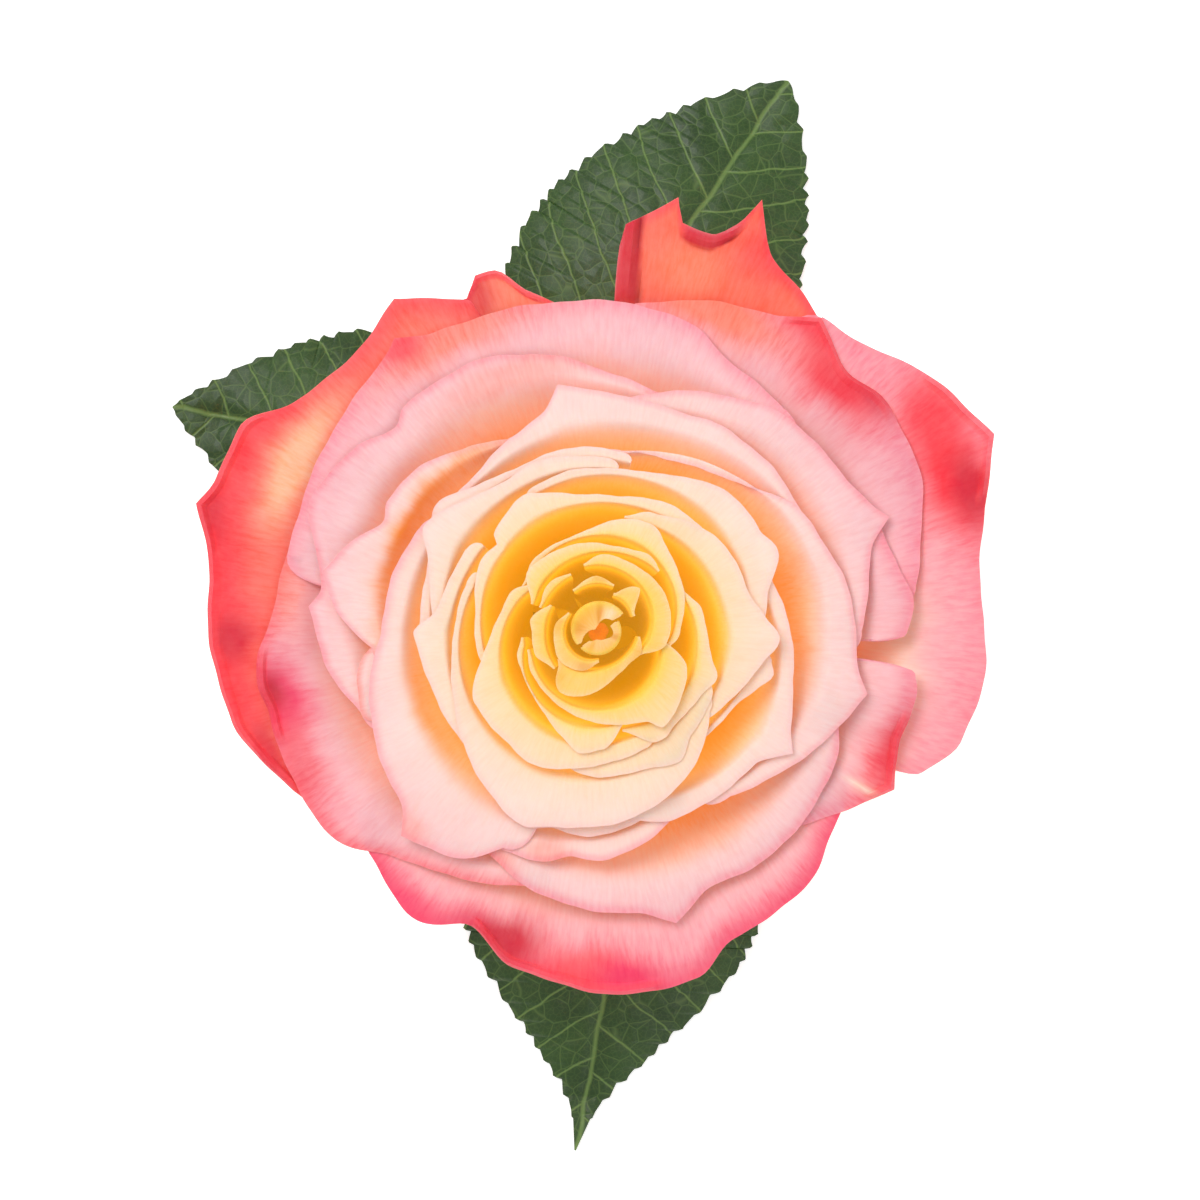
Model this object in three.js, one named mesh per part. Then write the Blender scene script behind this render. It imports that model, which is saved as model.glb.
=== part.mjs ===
// A cut rose lying face up: forty-five petals round a furled bud, with its pistils, hip, five
// sepals, four leaves and a short stem.
// Units are millimetres and degrees, +Z is up along the bloom's axis.
import * as THREE from "three";

// ---- Driving dimensions ----
const BLOOM_RADIUS = 50; // mean reach of the guard petals
const BLOOM_TOP = 57; // height of the heart above the surface
const HIP_HEIGHT = 20; // height of the hip's widest place
const HIP_RADIUS = 9; // radius of the dome that carries the petals
const HIP_DEPTH = 8.5; // from the hip's widest place down to the top of the stem
const PETAL_THICKNESS = 0.25;
const CLAW_THICKNESS = 0.22; // petals thin out where they are attached
const STEM_DIAMETER = 6;
const LEAF_THICKNESS = 0.8;
const LEAF_ARCH = 4.5; // how far a leaf's middle stands off the surface
const PETIOLE_DIAMETER = 1.8;
const SEPAL_LENGTH = 25;
const GAP = 0.3; // clearance between separate pieces

// ---- The proportions of the bloom ----
const DRAWN_RADIUS = 50; // the rims below are drawn on a bloom of this radius
const SPREAD = BLOOM_RADIUS / DRAWN_RADIUS;
const INNER_CREASE = 2; // crease radius of the innermost layer
const OUTER_CREASE = 41; // crease radius of the outermost layer
const HEART_SLOPE = 0.42; // how fast the creases drop with radius at the heart
const RIM_SLOPE = 0.5; // and out at the guard petals
const LIP_SLOPE = 0.05;
const LIP_CURL = 0.006;
const CLAW_WIDTH = 0.36; // share of a petal's spread that its claw keeps
const MAX_STEP = 15; // most degrees between two columns of a petal
const WALL_ROWS = [0, 0.38, 0.72, 1];
const LIP_ROWS = [2];

const rad = THREE.MathUtils.degToRad;
const smooth = (x) => THREE.MathUtils.smoothstep(x, 0, 1);

// Each petal, the outermost first. "crease" is the radius where the wall turns over into the lip,
// at the petal's start, middle and end. "tuck" is how many degrees each end runs on, mostly
// under its neighbours. "rim" is the outline of the lip: degrees round the axis and radius. The
// two petals at the core fold inward, so their rims have a smaller radius than their creases.
const PETALS = [
  {
    name: "petal_guard_top",
    crease: [41, 41, 41],
    tuck: [6, 1],
    rim: [[54, 48], [58, 49.8], [65, 52], [69.2, 58.5], [71, 54.5], [74, 52.2], [78.3, 52.6],
      [79.5, 55.7], [86, 51.6]],
  },
  {
    name: "petal_guard_right",
    crease: [39.2, 39.6, 39.6],
    tuck: [1.5, 5],
    rim: [[336.5, 44.4], [343, 47.8], [354, 49], [368, 48.5], [378, 51.5], [386.5, 55.8],
      [395, 53.6], [402, 51.2], [409, 49.1], [414.5, 48.6]],
  },
  {
    name: "petal_guard_small",
    crease: [39, 39, 39],
    tuck: [1.5, 6],
    rim: [[97, 41.8], [102, 44], [106, 47.2], [109, 47.4], [111.5, 45.2]],
  },
  {
    name: "petal_guard_left",
    crease: [37.8, 38.2, 37.6],
    tuck: [1.5, 8],
    rim: [[111.5, 45], [121.5, 49.2], [133, 46.4], [143, 48], [150, 51.8], [158, 52], [162.3, 53.1],
      [170, 49.8], [182, 48.9], [194, 47.4], [202, 45], [209.5, 42.5]],
  },
  {
    name: "petal_outer_upper_right",
    crease: [36.6, 36.8, 36.2],
    tuck: [4, 4],
    rim: [[8.5, 40.4], [17, 42.6], [28, 45.5], [39.7, 46.3], [45, 45.3], [54.5, 48.4], [60, 46],
      [72, 43.8], [83.5, 41.5]],
  },
  {
    name: "petal_guard_bottom",
    crease: [35.4, 35.6, 34.6],
    tuck: [8, 7],
    rim: [[224, 40], [238, 42.8], [247, 40.3], [255, 43.3], [264.5, 44.5], [274, 45.7], [286, 45.3],
      [294, 42.2], [308.7, 41.5], [319, 38.9], [324, 38.1]],
  },
  {
    name: "petal_outer_lower_right",
    crease: [33.2, 33.2, 32],
    tuck: [8, 1.5],
    rim: [[316, 35.2], [324, 38.3], [332, 42.2], [341, 40.2], [348.5, 40.9], [352.5, 40.2]],
  },
  {
    name: "petal_outer_right",
    crease: [34, 34.2, 34.4],
    tuck: [1.5, 8],
    rim: [[359.7, 38.8], [365, 39.9], [372, 38.6], [380, 37.9]],
  },
  {
    name: "petal_outer_left",
    crease: [36, 34.4, 30.6],
    tuck: [6, 6],
    rim: [[166, 40.3], [176, 41], [188.5, 43.4], [195, 42.6], [205, 42.7], [218, 42.2], [228, 38],
      [240, 35.6], [254.5, 33.1]],
  },
  {
    name: "petal_outer_top",
    crease: [33, 34.8, 34.2],
    tuck: [7, 4],
    rim: [[50, 36.5], [63, 37.6], [73, 40.4], [86, 41.6], [101, 42], [119, 42.9], [124.8, 45],
      [130, 43.3], [145, 41.6], [159, 40.5], [166.5, 40.2]],
  },
  {
    name: "petal_outer_bottom",
    crease: [27.8, 31.2, 28.8],
    tuck: [7, 7],
    rim: [[242.5, 30.7], [254, 33.1], [267, 34.8], [278, 35.7], [285, 37.8], [295, 35], [306, 35.5],
      [320, 34.9], [332, 33.9], [340, 32.2]],
  },
  {
    name: "petal_ring_right",
    crease: [30.4, 31.2, 26.8],
    tuck: [5, 6],
    rim: [[0, 33.1], [9, 34.3], [17, 36], [21.5, 39.2], [26, 37.6], [35, 36.4], [48, 36], [60, 34],
      [72, 31.8], [82.5, 29.6]],
  },
  {
    name: "petal_ring_top",
    crease: [29.6, 32.3, 28.6],
    tuck: [5, 6],
    rim: [[77, 31], [88, 32.7], [100, 35.3], [117, 37.4], [131, 37.3], [134.5, 36.2], [142, 38],
      [155, 39.7], [163, 37.2], [171.5, 35.2], [175, 36.4], [187, 34.4], [199, 31.4]],
  },
  {
    name: "petal_ring_petaloid",
    crease: [26.9, 26.9, 26.9],
    tuck: [5, 4],
    rim: [[184, 28.5], [187, 29.9], [192, 30.9], [199, 31.4]],
  },
  {
    name: "petal_ring_upper_left",
    crease: [25.8, 27.4, 25.4],
    tuck: [7, 5],
    rim: [[115, 26.7], [126, 28.4], [137, 30.4], [148, 31.1], [152.5, 30.2], [160, 33.1],
      [167.5, 35.3], [175, 33.1], [184, 28.4]],
  },
  {
    name: "petal_ring_upper_right",
    crease: [28.8, 25.6, 23.7],
    tuck: [7, 6],
    rim: [[31, 29.6], [45, 30.1], [58, 30.1], [71, 29.4], [88, 30], [99.3, 31.5], [104, 28.3],
      [117, 26.3], [129, 24.9], [138.5, 24.6]],
  },
  {
    name: "petal_ring_lower_left",
    crease: [23.2, 24.3, 25],
    tuck: [6, 6],
    rim: [[150, 25.8], [165, 26.7], [180, 27.1], [187, 28.4], [200, 30.3], [216, 32.2],
      [221.5, 32.8], [226, 35.5], [238, 33.4], [246.5, 29.5]],
  },
  {
    name: "petal_ring_lower",
    crease: [26.4, 25.6, 23.4],
    tuck: [5, 6],
    rim: [[246.5, 29.8], [256, 29.6], [264, 28.3], [270, 28.6], [280, 27.4], [291, 25.3]],
  },
  {
    name: "petal_ring_fold",
    crease: [24.6, 27.8, 22.4],
    tuck: [7, 5],
    rim: [[309, 26.4], [322, 28.8], [334, 31.5], [347, 34.6], [355, 32.5], [368, 32], [380, 30.6],
      [393, 29.3], [405, 25.9], [420, 23.9], [432, 23.1], [443, 22.9]],
  },
  {
    name: "petal_mid_lower",
    crease: [23.2, 23.2, 22],
    tuck: [6, 5],
    rim: [[243, 25], [250, 26], [257, 25.2], [267, 25.6], [283, 24.1]],
  },
  {
    name: "petal_mid_right",
    crease: [20.8, 23.4, 20.6],
    tuck: [5, 6],
    rim: [[282, 24.1], [291, 25.2], [305, 25.4], [320, 25.7], [328, 28.8], [335, 26.7], [346, 25.2],
      [360, 24.1], [376, 22.7]],
  },
  {
    name: "petal_mid_upper_left",
    crease: [21.4, 22, 20.6],
    tuck: [4, 6],
    rim: [[83, 22.7], [98, 23.3], [117, 22.9], [131, 24], [142.3, 25.8], [150, 24], [165, 22.5],
      [180, 22.3]],
  },
  {
    name: "petal_mid_left",
    crease: [20.3, 20.1, 19.3],
    tuck: [5, 6],
    rim: [[88, 21.8], [102, 22.4], [111, 22.7], [120, 22.1], [132, 22.9], [148.5, 25.4],
      [156, 23.3], [165, 21.7], [175, 20.8]],
  },
  {
    name: "petal_mid_far_left",
    crease: [17.7, 18.5, 19.6],
    tuck: [5, 5],
    rim: [[148, 19.4], [162, 19.7], [173, 20.5], [180.3, 23], [187, 22.5], [200, 21.9], [219, 21.8]],
  },
  {
    name: "petal_mid_upper_right",
    crease: [18, 19.8, 18.9],
    tuck: [6, 5],
    rim: [[5, 20.9], [13, 21.8], [25.5, 24.7], [32, 23.9], [44, 24], [57, 22.7], [70, 21.1],
      [86, 20.5], [98, 20.5], [112, 19.9]],
  },
  {
    name: "petal_mid_far_right",
    crease: [18, 18.8, 19.4],
    tuck: [5, 4],
    rim: [[314, 18.7], [330, 19.3], [341, 21.2], [346.5, 22.6], [350, 22]],
  },
  {
    name: "petal_inner_right",
    crease: [16.2, 15.6, 14.6],
    tuck: [6, 5],
    rim: [[320, 17.3], [335, 18.8], [350, 21], [358, 22.7], [365, 21], [375, 19.4], [392, 19.2],
      [408, 18.1], [420, 16.7], [432, 16]],
  },
  {
    name: "petal_inner_lower",
    crease: [16.4, 18.1, 14.9],
    tuck: [6, 6],
    rim: [[160, 17.5], [178, 17.9], [200, 19.4], [218, 21.6], [235, 24.1], [250, 25.9], [256, 25],
      [275, 24], [295, 22], [309, 20], [325, 17]],
  },
  {
    name: "petal_inner_top",
    crease: [16.4, 15.8, 14.2],
    tuck: [6, 6],
    rim: [[42, 18.4], [60, 18.3], [74, 17.5], [84, 17.1], [97, 17.3], [110, 18.5], [118.5, 19.4],
      [130, 18.5], [137, 17.7], [139, 16.7], [146, 17.1], [157, 16.6], [170, 15.5], [194, 15.2]],
  },
  {
    name: "petal_inner_low_lip",
    crease: [16.2, 15.1, 13.8],
    tuck: [6, 6],
    rim: [[257, 17.5], [272, 18.1], [287, 18], [302.5, 19], [312, 17.3], [325, 16.6], [336, 16]],
  },
  {
    name: "petal_inner_left",
    crease: [9.9, 13.5, 13.5],
    tuck: [5, 6],
    rim: [[148, 11.8], [165, 12.2], [181, 13.3], [194, 15], [200, 16.3], [210, 17.7], [230, 17.8],
      [243, 18.4], [258, 17.4], [275, 16.3], [300, 15.4]],
  },
  {
    name: "petal_inner_low_right",
    crease: [12.5, 12.7, 11.6],
    tuck: [6, 6],
    rim: [[290, 14.8], [302, 15.6], [311, 14.9], [328, 15], [338.5, 15.9], [346, 14.7], [357, 13.7],
      [380, 13]],
  },
  {
    name: "petal_heart_upper",
    crease: [8.6, 11.9, 10.8],
    tuck: [5, 5],
    rim: [[350, 9.9], [365, 10.4], [380, 11.5], [400, 12.7], [413, 13.8], [423, 15], [438, 14.4],
      [452, 13.1], [466, 12.3], [490, 12.1], [505, 11.2]],
  },
  {
    name: "petal_heart_lower_left",
    crease: [9.3, 11.6, 11.4],
    tuck: [6, 3],
    rim: [[190, 10.4], [215, 10.8], [235, 12], [252, 13.9], [262, 15.2], [272, 14.6], [284, 14.2]],
  },
  {
    name: "petal_heart_top",
    crease: [10.6, 9.8, 8.8],
    tuck: [5, 5],
    rim: [[50, 12.2], [65, 11.2], [80, 10.9], [96, 11.2], [118, 11.4], [137, 11.6], [152, 10.6]],
  },
  {
    name: "petal_heart_lower_right",
    crease: [8.8, 9.6, 7.6],
    tuck: [6, 2],
    rim: [[200, 9.5], [225, 9.9], [250, 10.6], [275, 11.5], [299, 12.7], [304.5, 14.3], [320, 13.3],
      [336, 12.1], [347, 11], [354, 9.9]],
  },
  {
    name: "petal_heart_right",
    crease: [5.6, 7.6, 8.4],
    tuck: [5, 5],
    rim: [[335, 7.9], [350, 8.6], [370, 9.2], [395, 9.6], [420, 9.5], [440, 9.7], [457, 10.2]],
  },
  {
    name: "petal_heart_far_left",
    crease: [7.8, 7.7, 7.7],
    tuck: [5, 3],
    rim: [[120, 8.7], [135, 8.6], [148, 8.4], [154, 7.9]],
  },
  {
    name: "petal_heart_left",
    crease: [6.6, 6.6, 6.9],
    tuck: [4, 3],
    rim: [[154, 8.8], [168, 8.6], [182, 8.2], [200, 8.3], [217, 7.9]],
  },
  {
    name: "petal_heart_small",
    crease: [6, 6.1, 5.9],
    tuck: [3, 3],
    rim: [[74, 6.8], [90, 7], [104, 6.7], [118, 6.2]],
  },
  {
    name: "petal_heart_cup",
    crease: [5.8, 4.6, 5],
    tuck: [4, 4],
    rim: [[218, 7.6], [229, 8.9], [244, 8.7], [262, 7.8], [278, 6.7], [296, 5.8], [316, 5.5],
      [334, 6], [350, 6.4]],
  },
  {
    name: "petal_core_right",
    crease: [4.8, 5, 5],
    tuck: [4, 2],
    rim: [[28, 5.5], [38, 6.6], [47, 7.6], [62, 7.9], [66, 6.3]],
  },
  {
    name: "petal_core_left",
    crease: [4.2, 4.2, 3.5],
    tuck: [4, 4],
    rim: [[150, 5], [170, 5.4], [195, 5.6], [215, 5.9], [232, 5.6], [250, 5.1], [268, 4.6]],
  },
  {
    name: "petal_core_top",
    crease: [3.9, 3.7, 3],
    tuck: [3, 3],
    rim: [[40, 2.3], [62, 1.9], [95, 0.8], [135, 0.5], [175, 1.2], [208, 2.2]],
  },
  {
    name: "petal_core_low",
    crease: [2.9, 2.8, 2.9],
    tuck: [3, 3],
    rim: [[226, 1.5], [262, 0.9], [315, 1.2], [355, 1.9], [386, 1.7]],
  },
];

// Each leaf: where its stalk leaves the stem, where the blade starts and where the tip is.
// "point" is how long its tip is drawn out and "lift" holds it above the leaf that it crosses.
const LEAVES = [
  {
    name: "leaf_top",
    side: 84, base: [-4, 22.5], tip: [24.8, 71.7],
    half: 19, teeth: 16, point: 0.75, sway: 1.5, lift: 0,
  },
  {
    name: "leaf_left",
    side: 126, base: [-7, 17], tip: [-55.5, 29.2],
    half: 16.5, teeth: 14, point: 0.8, sway: -1, lift: 0,
  },
  {
    name: "leaf_bottom",
    side: 271, base: [0.5, -13], tip: [-3, -67.8],
    half: 20, teeth: 16, point: 1.6, sway: 2.5, lift: 0,
  },
  {
    name: "leaf_lower_left",
    side: 212, base: [-9, -8.5], tip: [-36.5, -23],
    half: 12.5, teeth: 10, point: 0.8, sway: -2, lift: 4.5,
  },
];

// ---- The family of layers that every petal follows ----
// A layer is named by the radius of its crease. Its wall rises from the dome to the crease and its
// lip runs outward from there. Layers with different creases never meet.
const layerShare = (crease) => (crease - INNER_CREASE) / (OUTER_CREASE - INNER_CREASE);

function creaseHeight(crease) {
  const span = OUTER_CREASE - INNER_CREASE;
  const t = Math.max(0, layerShare(crease));
  const turn = 0.45; // the slope has reached its outer value by this share of the way
  const eased = t < turn ? (t * t) / (2 * turn) : t - turn / 2;
  const drop = span * (HEART_SLOPE * t + (RIM_SLOPE - HEART_SLOPE) * eased);
  return BLOOM_TOP - 1 - drop * SPREAD;
}

function wallPoint(crease, q) {
  const t = layerShare(crease);
  const tilt = rad(9 + 81 * t); // from the axis, where the petal leaves the dome
  const foot = new THREE.Vector2(HIP_RADIUS * Math.sin(tilt), HIP_HEIGHT + HIP_RADIUS * Math.cos(tilt));
  const top = new THREE.Vector2(crease * SPREAD, creaseHeight(crease));
  const arrive = rad(88 - 62 * smooth((t - 0.3) / 0.7));
  const reach = foot.distanceTo(top);
  const outward = new THREE.Vector2(Math.sin(tilt), Math.cos(tilt));
  const downward = new THREE.Vector2(-Math.cos(arrive), -Math.sin(arrive));
  const leave = foot.clone().addScaledVector(outward, reach * 0.34);
  const come = top.clone().addScaledVector(downward, reach * 0.36);
  return new THREE.CubicBezierCurve(foot, leave, come, top).getPoint(q);
}

function layerPoint(crease, q, rim) {
  if (q <= 1) return wallPoint(crease, q);
  const x = (q - 1) * (rim - crease) * SPREAD;
  return new THREE.Vector2(crease * SPREAD + x, creaseHeight(crease) - LIP_SLOPE * x - LIP_CURL * x * x);
}

function creaseAt(petal, deg) {
  const [first, middle, last] = petal.crease;
  const start = petal.rim[0][0];
  const end = petal.rim[petal.rim.length - 1][0];
  const t = THREE.MathUtils.clamp((deg - start) / (end - start), 0, 1);
  return first * (1 - t) * (1 - 2 * t) + middle * 4 * t * (1 - t) + last * t * (2 * t - 1);
}

// The columns of a petal: every point of its rim, steps between points that are far apart, and
// a short run-out at each end where the lip narrows away.
function petalColumns(petal) {
  const { rim, tuck } = petal;
  const columns = [];
  const last = rim[rim.length - 1];
  const outward = rim[0][1] > creaseAt(petal, rim[0][0]) ? 0.5 : -0.5;
  const lipEnd = (deg) => creaseAt(petal, deg) + outward;
  columns.push([rim[0][0] - tuck[0], lipEnd(rim[0][0] - tuck[0])]);
  rim.forEach(([deg, radius], i) => {
    columns.push([deg, radius]);
    if (i === rim.length - 1) return;
    const [nextDeg, nextRadius] = rim[i + 1];
    const steps = Math.ceil((nextDeg - deg) / MAX_STEP);
    for (let k = 1; k < steps; k++) {
      const t = k / steps;
      columns.push([deg + (nextDeg - deg) * t, radius + (nextRadius - radius) * t]);
    }
  });
  columns.push([last[0] + tuck[1], lipEnd(last[0] + tuck[1])]);
  return columns;
}

// ---- Closed slabs ----
function closedSlab(front, back) {
  const rows = front.length;
  const cols = front[0].length;
  const position = [];
  for (const row of [...front, ...back]) {
    for (const p of row) position.push(p.x, p.y, p.z);
  }
  const f = (i, j) => i * cols + j;
  const b = (i, j) => rows * cols + i * cols + j;
  const index = [];
  const quad = (p, q, r, s) => index.push(p, q, r, p, r, s);
  for (let i = 0; i < rows - 1; i++) {
    for (let j = 0; j < cols - 1; j++) {
      quad(f(i, j), f(i, j + 1), f(i + 1, j + 1), f(i + 1, j));
      quad(b(i, j), b(i + 1, j), b(i + 1, j + 1), b(i, j + 1));
    }
  }
  for (let j = 0; j < cols - 1; j++) {
    quad(f(0, j), b(0, j), b(0, j + 1), f(0, j + 1));
    quad(f(rows - 1, j), f(rows - 1, j + 1), b(rows - 1, j + 1), b(rows - 1, j));
  }
  for (let i = 0; i < rows - 1; i++) {
    quad(f(i, 0), f(i + 1, 0), b(i + 1, 0), b(i, 0));
    quad(f(i, cols - 1), b(i, cols - 1), b(i + 1, cols - 1), f(i + 1, cols - 1));
  }
  const geometry = new THREE.BufferGeometry();
  geometry.setAttribute("position", new THREE.Float32BufferAttribute(position, 3));
  geometry.setIndex(index);
  if (signedVolume(position, index) < 0) geometry.setIndex(index.reverse());
  return geometry;
}

function signedVolume(position, index) {
  const corner = (k) => new THREE.Vector3().fromArray(position, index[k] * 3);
  let sum = 0;
  for (let k = 0; k < index.length; k += 3) {
    sum += corner(k).dot(corner(k + 1).cross(corner(k + 2)));
  }
  return sum / 6;
}

// Offsets a grid of points both ways along its own normals.
function thicken(grid, thicknessAt) {
  const rows = grid.length;
  const cols = grid[0].length;
  const side = (sign) =>
    grid.map((row, i) =>
      row.map((p, j) => {
        const across = grid[i][Math.min(j + 1, cols - 1)].clone().sub(grid[i][Math.max(j - 1, 0)]);
        const along = grid[Math.min(i + 1, rows - 1)][j].clone().sub(grid[Math.max(i - 1, 0)][j]);
        const normal = across.normalize().cross(along.normalize()).normalize();
        return p.clone().addScaledVector(normal, (sign * thicknessAt(i, j)) / 2);
      }),
    );
  return closedSlab(side(1), side(-1));
}

function petalGeometry(petal) {
  const columns = petalColumns(petal);
  const first = columns[0][0];
  const last = columns[columns.length - 1][0];
  const heart = (first + last) / 2;
  const rows = [...WALL_ROWS, ...LIP_ROWS];
  const grid = rows.map((q) =>
    columns.map(([deg, rim]) => {
      const keep = CLAW_WIDTH + (1 - CLAW_WIDTH) * smooth(q / 0.8);
      const turned = heart + (deg - heart) * keep;
      const p = layerPoint(creaseAt(petal, turned), q, rim);
      return new THREE.Vector3(p.x * Math.cos(rad(turned)), p.x * Math.sin(rad(turned)), p.y);
    }),
  );
  const gain = PETAL_THICKNESS - CLAW_THICKNESS;
  return thicken(grid, (i) => CLAW_THICKNESS + gain * smooth(rows[i] / 0.5));
}

// ---- Leaves and sepals: a midline with a width, a thickness and an arch ----
function bladeGeometry(stations) {
  const across = [-1, -0.5, 0, 0.5, 1];
  const grid = stations.map((s) =>
    across.map((a) => {
      const p = s.middle.clone().addScaledVector(s.side, a * s.half);
      p.z += s.rise * (1 - a * a);
      return p;
    }),
  );
  return thicken(grid, (i) => stations[i].thickness);
}

function leafGeometry(leaf) {
  const stemEdge = STEM_DIAMETER / 2 + 2 * GAP;
  const side = rad(leaf.side);
  const start = new THREE.Vector3(stemEdge * Math.cos(side), stemEdge * Math.sin(side), 0);
  const base = new THREE.Vector3(...leaf.base, 0);
  const tip = new THREE.Vector3(...leaf.tip, 0);
  const run = tip.clone().sub(base);
  const length = run.length();
  const forward = run.clone().normalize();
  const left = new THREE.Vector3(-forward.y, forward.x, 0);
  const stations = [];
  const stalk = base.clone().sub(start);
  const stalkSide = new THREE.Vector3(-stalk.y, stalk.x, 0).normalize();
  const stalkRadius = PETIOLE_DIAMETER / 2;
  for (const t of [0, 0.45, 0.85]) {
    const middle = start.clone().addScaledVector(stalk, t);
    middle.z = THREE.MathUtils.lerp(5, stalkRadius, smooth(t)) + leaf.lift;
    stations.push({ middle, side: stalkSide, half: stalkRadius, rise: 0, thickness: PETIOLE_DIAMETER });
  }
  const midline = (t) => {
    const sway = leaf.sway * Math.sin(Math.PI * t);
    return base.clone().addScaledVector(run, t).addScaledVector(left, sway);
  };
  const width = (t) => {
    const round = Math.sin(Math.PI * Math.pow(t, 0.75));
    return leaf.half * Math.pow(round, t < 0.4 ? 0.8 : leaf.point);
  };
  const pitch = 1 / leaf.teeth;
  for (let k = 0; k < leaf.teeth; k++) {
    for (const [share, bite] of [[0.12, 1], [0.88, 0]]) {
      const t = pitch * (k + share);
      const half = Math.max(stalkRadius, width(t) - bite * length * 0.016);
      const lift = LEAF_ARCH * Math.sin(Math.PI * Math.min(1, t * 1.15));
      const middle = midline(t);
      middle.z = LEAF_THICKNESS / 2 + PETIOLE_DIAMETER * 0.3 * (1 - t) + leaf.lift;
      stations.push({ middle, side: left, half, rise: Math.max(0, lift), thickness: LEAF_THICKNESS });
    }
  }
  const end = midline(1);
  end.z = LEAF_THICKNESS / 2 + leaf.lift;
  stations.push({ middle: end, side: left, half: 0.4, rise: 0, thickness: LEAF_THICKNESS });
  return bladeGeometry(stations);
}

function sepalGeometry(turn) {
  const out = new THREE.Vector3(Math.cos(turn), Math.sin(turn), 0);
  const side = new THREE.Vector3(-Math.sin(turn), Math.cos(turn), 0);
  const stations = [];
  for (const t of [0, 0.18, 0.4, 0.62, 0.82, 1]) {
    const middle = out.clone().multiplyScalar(HIP_RADIUS + 0.4 + SEPAL_LENGTH * t);
    middle.z = HIP_HEIGHT - 2.4 - 6 * t * t;
    const half = 3.4 * Math.pow(1 - t, 0.7) * (0.75 + 0.6 * t) + 0.3;
    stations.push({ middle, side, half, rise: 0.6 * (1 - t), thickness: LEAF_THICKNESS });
  }
  return bladeGeometry(stations);
}

// ---- Turned pieces ----
function turned(profile, segments) {
  const geometry = new THREE.LatheGeometry(profile.map(([r, z]) => new THREE.Vector2(r, z)), segments);
  geometry.rotateX(Math.PI / 2);
  return geometry;
}

function hipGeometry() {
  const dome = HIP_RADIUS - GAP;
  const profile = [[0, HIP_HEIGHT - HIP_DEPTH + GAP], [STEM_DIAMETER / 2, HIP_HEIGHT - HIP_DEPTH + GAP]];
  profile.push([dome * 0.62, HIP_HEIGHT - 6.4]);
  profile.push([dome * 0.93, HIP_HEIGHT - 3]);
  for (const deg of [0, 22, 44, 66, 80]) {
    profile.push([dome * Math.cos(rad(deg)), HIP_HEIGHT + dome * Math.sin(rad(deg))]);
  }
  profile.push([0, HIP_HEIGHT + dome]);
  return turned(profile, 20);
}

function stemGeometry() {
  const r = STEM_DIAMETER / 2;
  return turned([[0, 0], [r, 0], [r, HIP_HEIGHT - HIP_DEPTH], [0, HIP_HEIGHT - HIP_DEPTH]], 20);
}

const pistilTop = HIP_HEIGHT + HIP_RADIUS + 7;

function pistilGeometry() {
  const foot = HIP_HEIGHT + HIP_RADIUS;
  return turned([[0, foot], [0.8, foot], [0.7, foot + 4], [1, pistilTop - 1], [0, pistilTop]], 10);
}

function budGeometry() {
  const foot = pistilTop + GAP;
  const top = BLOOM_TOP - 4;
  const height = top - foot;
  const profile = [[0, foot], [0.8, foot + 1], [1.3, foot + height * 0.7]];
  profile.push([1.2, top - 1.6], [0.5, top - 0.3], [0, top]);
  return turned(profile, 12);
}

// ---- Assembly ----
const group = new THREE.Group();
group.name = "cut_rose";

function add(name, geometry, colour) {
  const material = new THREE.MeshStandardMaterial({ color: colour, roughness: 0.6 });
  const mesh = new THREE.Mesh(geometry, material);
  mesh.name = name;
  group.add(mesh);
}

const amber = new THREE.Color(0xf2a020);
const blush = new THREE.Color(0xf8b8b4);
for (const petal of PETALS) {
  const share = smooth(layerShare(petal.crease[1]) * 1.3);
  add(petal.name, petalGeometry(petal), amber.clone().lerp(blush, share));
}
add("heart_bud", budGeometry(), 0xe89018);
add("pistils", pistilGeometry(), 0xc8a040);
add("hip", hipGeometry(), 0x5c7a34);
add("stem", stemGeometry(), 0x4f7030);
for (let k = 0; k < 5; k++) add(`sepal_${k + 1}`, sepalGeometry(rad(20 + 72 * k)), 0x5a7a36);
for (const leaf of LEAVES) add(leaf.name, leafGeometry(leaf), 0x3f6022);

// The origin is under the middle of the bounding box, on the surface.
const box = new THREE.Box3().setFromObject(group);
const middle = box.getCenter(new THREE.Vector3());
for (const mesh of group.children) mesh.geometry.translate(-middle.x, -middle.y, -box.min.z);

export default group;
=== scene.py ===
# %% [markdown]
# # A cut rose, lying face up
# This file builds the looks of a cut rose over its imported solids. The solids say where each
# petal, leaf, sepal, the hip and the stem are; here every one of them gets a fine, soft surface
# and a finish of its own. Units are metres, and +Z is up along the bloom's axis.

import math

import bpy
import numpy as np
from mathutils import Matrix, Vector


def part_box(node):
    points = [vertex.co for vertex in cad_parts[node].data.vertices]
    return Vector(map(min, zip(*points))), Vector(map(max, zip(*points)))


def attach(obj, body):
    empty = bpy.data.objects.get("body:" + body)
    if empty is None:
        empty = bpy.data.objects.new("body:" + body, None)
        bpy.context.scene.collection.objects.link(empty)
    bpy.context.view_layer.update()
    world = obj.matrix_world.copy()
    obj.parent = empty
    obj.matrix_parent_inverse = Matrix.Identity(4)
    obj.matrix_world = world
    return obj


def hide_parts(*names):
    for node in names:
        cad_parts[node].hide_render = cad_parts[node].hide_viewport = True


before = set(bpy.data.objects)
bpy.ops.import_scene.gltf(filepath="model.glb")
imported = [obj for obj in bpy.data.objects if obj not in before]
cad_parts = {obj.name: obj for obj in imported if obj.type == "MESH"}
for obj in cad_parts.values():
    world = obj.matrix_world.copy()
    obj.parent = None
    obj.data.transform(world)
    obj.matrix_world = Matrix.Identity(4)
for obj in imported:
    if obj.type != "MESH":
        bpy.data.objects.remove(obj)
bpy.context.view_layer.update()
print("solids", len(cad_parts))

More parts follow.
